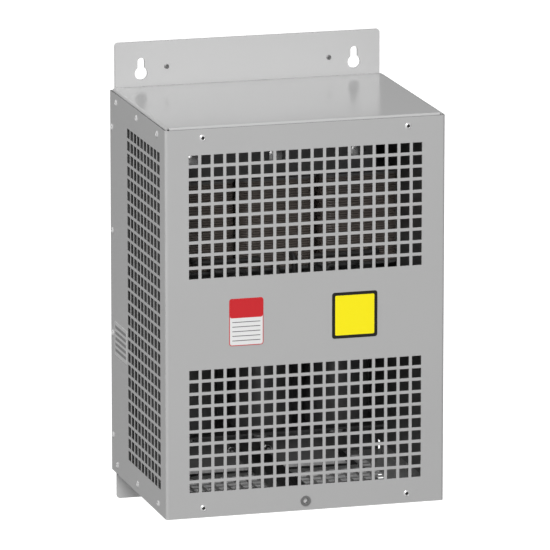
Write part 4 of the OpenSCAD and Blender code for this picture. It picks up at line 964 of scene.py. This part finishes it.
COVER_THREAD_D, COVER_THREAD_L, WASHER_T = 4.98, 13.0, 1.0
head = pan_head("pan_head", radius=4.75, height=3.58, shank=2.35, reach=4.0, drive_turn=24)
shank = placed(thread_mesh("cover_thread", COVER_THREAD_D, THREAD_PITCH[5.0], COVER_THREAD_L,
                           SCREW_HEAD), Matrix.Translation((0, 0, -3.0)), "cover_shank")
screw = placed(join_meshes("cover_screw_parts", [head, shank]),
               Matrix.Translation((0, FRONT - WASHER_T, RIVET_BOTTOM)) @ FACE_FRONT,
               "cover_screw_mesh")
set_piece("pan_screw", screw, "cover_screw", ("cover_screw",), SCREW_HEAD)
# The washer takes the darker, duller metal as painted shade: a dark ring round the bright screw head.
washer = placed(turned("washer", [(2.55, 0.12), (2.67, 0.0), (4.85, 0.0), (4.98, 0.15),
                                  (4.98, 0.85), (4.85, 0.98), (2.67, 0.98), (2.55, 0.86),
                                  (2.55, 0.12)], 48),
                Matrix.Translation((0, FRONT, RIVET_BOTTOM)) @ FACE_FRONT, "washer_mesh")
set_piece("captive_washer", washer, "screw_washer", ("screw_washer",),
          DULL_METAL)


# Studs, bolts and nuts

def nut_mesh(name):
    """A hexagon nut for a thread of 1 mm, to be sized."""
    bm = bmesh.new()
    hex_nut_profile(bm, 1.65, 0.8, 0.505)
    return finished_mesh(name, bm, 25)


STUD_OVERLAP, STUD_SHRINK, SHELF_STUD_Z, LOW_STUD_Z = 1.4, 0.02, -363.0, -385.0
CHOKE_STUDS = [(x, z, 8.0, 4.5, 12.9) for x in (-80, 80)
               for z in (CORE_TOP + 12, CORE_BOTTOM - 12)]
SHELF_STUDS = [(x, SHELF_STUD_Z, 6.0, 3.5, 10.3) for x in (-90, 90)]
ARM_STUDS = [(x, LOW_STUD_Z, 5.0, 1.5, 7.5) for x in (-18, 18)]
EARTH_STUDS = [(-112, LOW_STUD_Z, 6.0, 1.6, 18.0)]
# Each stud's X, Z, diameter, thickness that it holds, and reach from the plate
STUDS = CHOKE_STUDS + SHELF_STUDS + ARM_STUDS + EARTH_STUDS
set_piece("plate_nuts", on_points("plate_nuts", nut_mesh("plate_nut"), [
    ((x, PLATE - held, z), FORWARD, (d, d, d)) for x, z, d, held, _ in STUDS], ZINC, HEX_TURN, 4),
    "chassis", ("stud_nuts",))
stud_meshes = []
for x, z, d, held, reach in STUDS:
    rod = thread_mesh("stud_thread", d - STUD_SHRINK, THREAD_PITCH[d], reach + STUD_OVERLAP, ZINC)
    stud_meshes.append(placed(rod, Matrix.Translation((x, PLATE + STUD_OVERLAP, z))
                              @ Matrix.Rotation(math.radians(-90), 4, "X"), "stud"))
set_piece("welded_studs", join_meshes("welded_studs", stud_meshes), "chassis",
          ("plate_studs",), ZINC)


def bolt_mesh(name):
    """A hexagon bolt of 8 mm with its seat at z = 0, its head above."""
    bm = bmesh.new()
    hex_nut_profile(bm, 13.2, 5.28, 4.0, closed=True)
    head = finished_mesh(name + "_head", bm, 25)
    plain = turned(name + "_plain", [(0, 0), (3.98, 0), (3.98, -52.0), (3.4, -52.6),
                                     (0, -52.6)], 32)
    thread = placed(thread_mesh(name + "_thread", 7.98, THREAD_PITCH[CLAMP_BOLT_D], 22.4, ZINC),
                    Matrix.Translation((0, 0, -52.0)), name + "_end")
    return join_meshes(name, [head, plain, thread])


BOLTS = [(x, z) for x in LIMB_X for z in (CORE_TOP - YOKE_H / 2, CORE_BOTTOM + YOKE_H / 2)]
set_piece("yoke_bolts", on_points("yoke_bolts", bolt_mesh("yoke_bolt"), [
    ((x, YOKE_FRONT - CLAMP_T, z), FORWARD, WHOLE) for x, z in BOLTS], ZINC, HEX_TURN, 8),
    "chassis", ("clamp_bolts",))
set_piece("yoke_nuts", on_points("yoke_nuts", nut_mesh("yoke_nut"), [
    ((x, YOKE_BACK + CLAMP_T, z), BACKWARD, (CLAMP_BOLT_D,) * 3) for x, z in BOLTS],
    ZINC, HEX_TURN, 9),
    "chassis", ("clamp_nuts",))
set_piece("stud_end_nuts", on_points("stud_end_nuts", nut_mesh("stud_end_nut"), [
    ((x, CAP_Y, SHELF_TOP - SHELF_T), DOWN, (CAP_STUD_D,) * 3) for x in CAP_X],
    ZINC, HEX_TURN, 10),
    "chassis", ("capacitor_nuts",))


# Choke

def drilled_sheet(name, x0, x1, z0, z1, y, thickness, holes):
    """One lamination with round holes, in metres."""
    bm = bmesh.new()
    prism_y(bm, [(x0, z0), (x1, z0), (x1, z1), (x0, z1)], y, y + thickness)
    bmesh.ops.recalc_face_normals(bm, faces=bm.faces)
    sheet = finished_mesh(name, bm)
    if not holes:
        return sheet
    bm = bmesh.new()
    hole_r, sides = 4.06, 20
    for x, z in holes:
        angles = [2 * math.pi * i / sides for i in range(sides)]
        prism_y(bm, [(x + hole_r * math.cos(a), z + hole_r * math.sin(a)) for a in angles],
                y - 1, y + thickness + 1)
    return cut_away(sheet, finished_mesh(name + "_holes", bm), name)


SHEET_T, SHEET_STEP, SHEET_SLIP, SHEET_INSET, SHEET_COUNT = 0.86, 1.0, 0.05, 0.06, 60
AIR_GAP, COIL_END_GAP = 1.5, 2.3


def lamination_stack(name, x0, x1, z0, z1, holes, seed):
    """Core sheets between two corners in X and Z, each slipped a little by chance."""
    sheet = drilled_sheet(name + "_sheet", x0 + SHEET_INSET, x1 - SHEET_INSET, z0 + SHEET_INSET,
                          z1 - SHEET_INSET, YOKE_FRONT, SHEET_T, holes)
    return grown(name, sheet, SHEET_TREE, {
        "Finish": LAMINATION, "Count": SHEET_COUNT, "Step": mm(0.0, SHEET_STEP, 0.0),
        "Slip": mm(SHEET_SLIP, 0.0, SHEET_SLIP), "Seed": seed})


for node, z0, z1, seed in (("upper_yoke", CORE_TOP - YOKE_H, CORE_TOP, 21),
                           ("lower_yoke", CORE_BOTTOM, CORE_BOTTOM + YOKE_H, 22)):
    sheets = lamination_stack(node + "_sheets", -CORE_HALF_W, CORE_HALF_W, z0, z1,
                              [(x, (z0 + z1) / 2) for x in LIMB_X], seed)
    set_piece(node + "_sheets", sheets, "chassis", (node,))
limbs = [lamination_stack(f"limb_{k}", x - LIMB_HALF, x + LIMB_HALF, CORE_BOTTOM + YOKE_H,
                          CORE_TOP - YOKE_H - AIR_GAP, [], 30 + k) for k, x in enumerate(LIMB_X)]
set_piece("limb_sheets", join_meshes("limb_sheets", limbs), "chassis",
          ("core_limbs",), LAMINATION)


def ring_loop(x, out, radius):
    """Points round a limb at a distance from it, in millimetres."""
    return rounded_outline(x - LIMB_HALF - out, YOKE_FRONT - out, x + LIMB_HALF + out,
                           YOKE_BACK + out, radius)


def coil_core(name, x, z0, z1):
    """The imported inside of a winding: a rounded ring with a square bore."""
    bm = bmesh.new()
    rows = []
    bore, outside = (2.32, 0.4), (17.0, 11.0)
    for (out, radius), z in ((bore, z0), (outside, z0), (outside, z1), (bore, z1)):
        rows.append([bm.verts.new((px, py, z)) for px, py in ring_loop(x, out, radius)])
    rows.append(rows[0])
    for first, second in zip(rows, rows[1:]):
        for i in range(len(first)):
            j = (i + 1) % len(first)
            bm.faces.new((first[i], first[j], second[j], second[i]))
    return finished_mesh(name, bm)


for k, (node, x) in enumerate(zip(("coil_u", "coil_v", "coil_w"), LIMB_X)):
    low_z, high_z = CORE_BOTTOM + YOKE_H + COIL_END_GAP, CORE_TOP - YOKE_H - COIL_END_GAP
    wire_r, turns, inset = 1.14, 36, 0.02
    step = (high_z - low_z - 2 * wire_r - 2 * inset) / (turns - 1)
    path = bpy.data.meshes.new(node + "_path")
    loop = ring_loop(x, 18.28 - wire_r, 12.0 - wire_r)
    loop = [p for i, p in enumerate(loop) if i == 0 or math.dist(p, loop[i - 1]) > 0.01]
    path.from_pydata([mm(px, py, low_z + wire_r + inset) for px, py in loop],
                     [(i, (i + 1) % len(loop)) for i in range(len(loop))], [])
    core = link_object(node + "_core", coil_core(node + "_core", x, low_z + inset, high_z - inset))
    mesh = grown(node + "_turns", path, WINDING_TREE, {
        "Core": core, "Finish": WINDING, "Turns": turns, "Step": (0.0, 0.0, step * MM),
        "Wire Radius": wire_r * MM}, 60)
    bpy.data.objects.remove(core)
    set_piece(node + "_turns", mesh, "chassis", (node,))


# Leads

COIL_FRONT_Y, LEAD_END_Z, TAB_END_Y, TAB_LEAD_Z = -110.38, -223.0, -56.9, -259.0
bm = bmesh.new()
for k in range(3):
    for finish_end in (0, 1):
        toward = -1 if k == 2 else 1
        x_end = TERMINAL_X[2 * k + finish_end]
        outer = 1 - finish_end if k == 2 else finish_end
        z = CORE_BOTTOM + YOKE_H + COIL_END_GAP + 5.0 + 10.0 * outer
        x_start = x_end if k == 1 else LIMB_X[k] - toward * (outer * 2 - 1) * 10.0
        route = [(x_start, COIL_FRONT_Y, z), (x_start, LEAD_BEND_Y, z)]
        if k != 1:
            route.append((x_end, LEAD_BEND_Y, z))
        tube(bm, route + [(x_end, LEAD_BEND_Y, LEAD_END_Z)], 2.46, 5.5)
set_piece("coil_leads", finished_mesh("coil_leads", bm, 50), "chassis",
          ("winding_leads",), WIRE)
bm = bmesh.new()
for k in range(3):
    x_end = TERMINAL_X[2 * k + 1]
    tube(bm, [(CAP_X[k], TAB_END_Y, TAB_LEAD_Z), (CAP_X[k], TAB_LEAD_Y, TAB_LEAD_Z),
              (x_end, TAB_LEAD_Y, TAB_LEAD_Z), (x_end, TAB_LEAD_Y, CLAMP_Z)], 1.38, 4.0, 12)
set_piece("tab_leads", finished_mesh("tab_leads", bm, 50), "chassis",
          ("capacitor_leads",), WIRE)


# Capacitors

can = turned("can", [(0, -13.9), (5.3, -13.9), (5.98, -13.2), (5.98, 0.0), (28.4, 0.0), (29.9, 0.35),
                     (30.8, 1.2), (30.98, 2.4), (30.98, 73.2), (30.4, 74.2), (29.9, 75.2),
                     (30.4, 76.2), (30.98, 77.2), (30.98, 82.2), (30.5, 83.4), (29.6, 83.98),
                     (28.6, 83.8), (27.4, 82.52), (0, 82.52)], 96, 30)
set_piece("crimped_cans", on_points("crimped_cans", can, [((x, CAP_Y, SHELF_TOP), UP, WHOLE)
          for x in CAP_X], CAN, 0.0, 2), "chassis", ("capacitor_cans",))
lid = turned("lid", [(0, 0.02), (26.95, 0.02), (26.95, 2.2), (26.2, 2.9), (24.6, 3.1), (24.2, 2.5),
                     (22.8, 2.5), (22.4, 3.1), (9.0, 3.1), (8.4, 3.98), (0, 3.98)], 96, 30)
set_piece("ribbed_lids", on_points("ribbed_lids", lid, [((x, CAP_Y, SHELF_TOP + CAP_H), UP, WHOLE)
          for x in CAP_X], DARK_PLASTIC, 0.0, 2), "chassis", ("capacitor_lids",))


# Terminal screws

def slotted_head(name):
    bm = bmesh.new()
    lathe(bm, [(0, -1.5), (1.9, -1.5), (1.9, 0), (3.2, 0), (3.48, 0.3), (3.48, 1.9), (3.1, 2.5),
               (2.6, 2.59), (0, 2.59)], turns=32)
    head = finished_mesh(name + "_blank", bm, 30)
    bm = bmesh.new()
    prism_y(bm, [(-5, 1.4), (5, 1.4), (5, 5), (-5, 5)], -0.5, 0.5)
    return cut_away(head, finished_mesh(name + "_slot", bm), name)


for i in range(6):
    head = slotted_head("slotted_head")
    thread = placed(thread_mesh("clamp_thread", 3.98, THREAD_PITCH[4.0], 11.7, ZINC),
                    Matrix.Translation((0, 0, -1.1)), "clamp_end")
    mesh = placed(join_meshes("clamp_screw", [head, thread]),
                  Matrix.Translation((TERMINAL_X[i], TERMINAL_FRONT + HEAD_DEPTH, CLAMP_Z)) @ FACE_FRONT,
                  f"clamp_screw_{i + 1}")
    set_piece(f"clamp_screw_{i + 1}", mesh, f"terminal_screw_{i + 1}",
              (f"terminal_screw_{i + 1}",), ZINC)


# Blank labels

def front_foil(name, outline, back, front, material, stands_for=()):
    """A foil shape on the front: an X-Z outline between two heights over the sheet."""
    bm = bmesh.new()
    prism_y(bm, outline, FRONT - front, FRONT - back)
    set_piece(name, finished_mesh(name, bm), "hood", stands_for, material)


def side_foil(name, outline, back, front, material, stands_for=()):
    """The same on the left side: the outline is in Y and Z."""
    bm = bmesh.new()
    prism_y(bm, outline, front, back)
    for vert in bm.verts:
        vert.co = Vector((-HALF_W - vert.co.y, vert.co.x, vert.co.z))
    set_piece(name, finished_mesh(name, bm), "hood", stands_for, material)


HOLE_PITCH, FIRST_HOLE_DROP = 12.0, 31.0
LABEL_Z = TOP - FIRST_HOLE_DROP - 13.0 * HOLE_PITCH
left_x0, left_x1, left_z0, left_z1 = -74.0, -41.0, LABEL_Z - 22.5, LABEL_Z + 22.5
front_foil("left_label_edge", rounded_outline(left_x0, left_z0, left_x1, left_z1, 2.5), 0.0, 0.2,
           LABEL_RED, ("front_label_left",))
front_foil("left_label_field", rounded_outline(left_x0 + 0.7, left_z0 + 0.7, left_x1 - 0.7,
           left_z1 - 0.7, 1.9), 0.2, 0.25, LABEL_WHITE)
front_foil("left_label_band", rounded_outline(left_x0 + 0.7, left_z1 - 18.5, left_x1 - 0.7,
           left_z1 - 0.7, 1.9), 0.25, 0.28, LABEL_RED)
for row in range(5):
    z = left_z1 - 22.5 - row * 4.4
    front_foil(f"left_label_rule_{row + 1}", [(left_x0 + 3, z - 0.35), (left_x1 - 3, z - 0.35),
               (left_x1 - 3, z + 0.35), (left_x0 + 3, z + 0.35)], 0.25, 0.28, LABEL_GREY)
right = (47.5 - 22.0, LABEL_Z - 22.0, 47.5 + 22.0, LABEL_Z + 22.0)
front_foil("right_label_edge", rounded_outline(*right, 2.5), 0.0, 0.2, LABEL_BLACK,
           ("front_label_right",))
front_foil("right_label_field", rounded_outline(right[0] + 3, right[1] + 3, right[2] - 3,
           right[3] - 3, 1.2), 0.2, 0.28, LABEL_YELLOW)
RATING_Z = TOP - FIRST_HOLE_DROP - 17.4 * HOLE_PITCH
rating = (-59.0, RATING_Z - 16.5, -14.0, RATING_Z + 16.5)
side_foil("rating_plate_sheet", rounded_outline(*rating, 1.25), 0.0, 0.24, LABEL_SILVER,
          ("rating_plate",))
for row in range(5):
    z = rating[3] - 5.0 - row * 5.6
    side_foil(f"rating_plate_field_{row + 1}", [(rating[0] + 3, z - 1.5), (rating[2] - 3, z - 1.5),
              (rating[2] - 3, z + 1.5), (rating[0] + 3, z + 1.5)], 0.24, 0.28, LABEL_FIELD)


# Camera

CAMERA_AZIMUTH = -15.992
CAMERA_ELEVATION = 12.940
CAMERA_DISTANCE = 6592.2
CAMERA_TARGET = (-42.23, -243.45, -157.92)
CAMERA_LENS = 468.3


def set_camera():
    a, e = math.radians(CAMERA_AZIMUTH), math.radians(CAMERA_ELEVATION)
    back = Vector((math.sin(a) * math.cos(e), -math.cos(a) * math.cos(e), math.sin(e)))
    camera = bpy.data.objects.new("camera", bpy.data.cameras.new("camera"))
    bpy.context.scene.collection.objects.link(camera)
    camera.data.lens = CAMERA_LENS
    camera.data.sensor_width = 36.0
    camera.data.clip_start, camera.data.clip_end = 0.5, 60.0
    camera.location = mm(*CAMERA_TARGET) + back * CAMERA_DISTANCE * MM
    camera.rotation_mode = "QUATERNION"
    camera.rotation_quaternion = (-back).to_track_quat("-Z", "Y")
    bpy.context.scene.camera = camera


# Floor, world and lamps

FLOOR_Z = -640.0


def set_floor():
    bm = bmesh.new()
    bmesh.ops.create_grid(bm, x_segments=2, y_segments=2, size=9000.0)
    bmesh.ops.translate(bm, vec=(0, 0, FLOOR_Z), verts=bm.verts)
    floor = link_object("floor", finished_mesh("floor", bm))
    material = bpy.data.materials.new("pale_floor")
    material.use_nodes = True
    nodes, links = material.node_tree.nodes, material.node_tree.links
    shader = nodes["Principled BSDF"]
    shader.inputs["Base Color"].default_value = grey(150)
    shader.inputs["Roughness"].default_value = 0.9
    shader.inputs["Specular IOR Level"].default_value = 0.0
    path = nodes.new("ShaderNodeLightPath")
    glow = nodes.new("ShaderNodeEmission")
    glow.inputs["Color"].default_value = (1, 1, 1, 1)
    links.new(path.outputs["Is Camera Ray"], glow.inputs["Strength"])
    both = nodes.new("ShaderNodeAddShader")
    links.new(shader.outputs[0], both.inputs[0])
    links.new(glow.outputs[0], both.inputs[1])
    links.new(both.outputs[0], nodes["Material Output"].inputs["Surface"])
    floor.data.materials.append(material)


WORLD_LEVEL = 0.3
MIRRORED_LEVEL = 0.13


def set_world():
    world = bpy.data.worlds.new("studio")
    bpy.context.scene.world = world
    world.use_nodes = True
    nodes, links = world.node_tree.nodes, world.node_tree.links
    base = nodes["Background"]
    base.inputs["Color"].default_value = (1, 1, 1, 1)
    white = nodes.new("ShaderNodeBackground")
    white.inputs["Color"].default_value = (1, 1, 1, 1)
    white.inputs["Strength"].default_value = 1.0
    path = nodes.new("ShaderNodeLightPath")
    level = shader_math(nodes, links, "MULTIPLY_ADD", path.outputs["Is Glossy Ray"],
                        MIRRORED_LEVEL - WORLD_LEVEL)
    level.node.inputs[2].default_value = WORLD_LEVEL
    links.new(level, base.inputs["Strength"])
    seen = nodes.new("ShaderNodeMath")
    seen.operation = "MAXIMUM"
    links.new(path.outputs["Is Camera Ray"], seen.inputs[0])
    links.new(path.outputs["Is Transmission Ray"], seen.inputs[1])
    mix = nodes.new("ShaderNodeMixShader")
    links.new(seen.outputs[0], mix.inputs[0])
    links.new(base.outputs[0], mix.inputs[1])
    links.new(white.outputs[0], mix.inputs[2])
    links.new(mix.outputs[0], nodes["World Output"].inputs["Surface"])


def add_lamp(name, place, aim, size, power):
    data = bpy.data.lights.new(name, "AREA")
    data.shape = "RECTANGLE"
    data.size, data.size_y = size
    data.energy = power
    lamp = bpy.data.objects.new(name, data)
    bpy.context.scene.collection.objects.link(lamp)
    lamp.location = place
    lamp.rotation_mode = "QUATERNION"
    lamp.rotation_quaternion = (Vector(aim) - Vector(place)).to_track_quat("-Z", "Y")


def set_lamps():
    centre = (0.0, -0.1, -0.2)
    add_lamp("key_lamp", (-1.32, -3.06, 2.12), centre, (2.2, 2.2), 92.0)
    add_lamp("top_lamp", (-1.9, 0.2, 3.1), centre, (2.0, 2.0), 82.0)
    add_lamp("front_fill", (-0.94, -3.28, 0.7), centre, (1.3, 1.3), 32.0)


set_camera()
set_floor()
set_world()
set_lamps()

scene = bpy.context.scene
scene.view_settings.view_transform = "Standard"
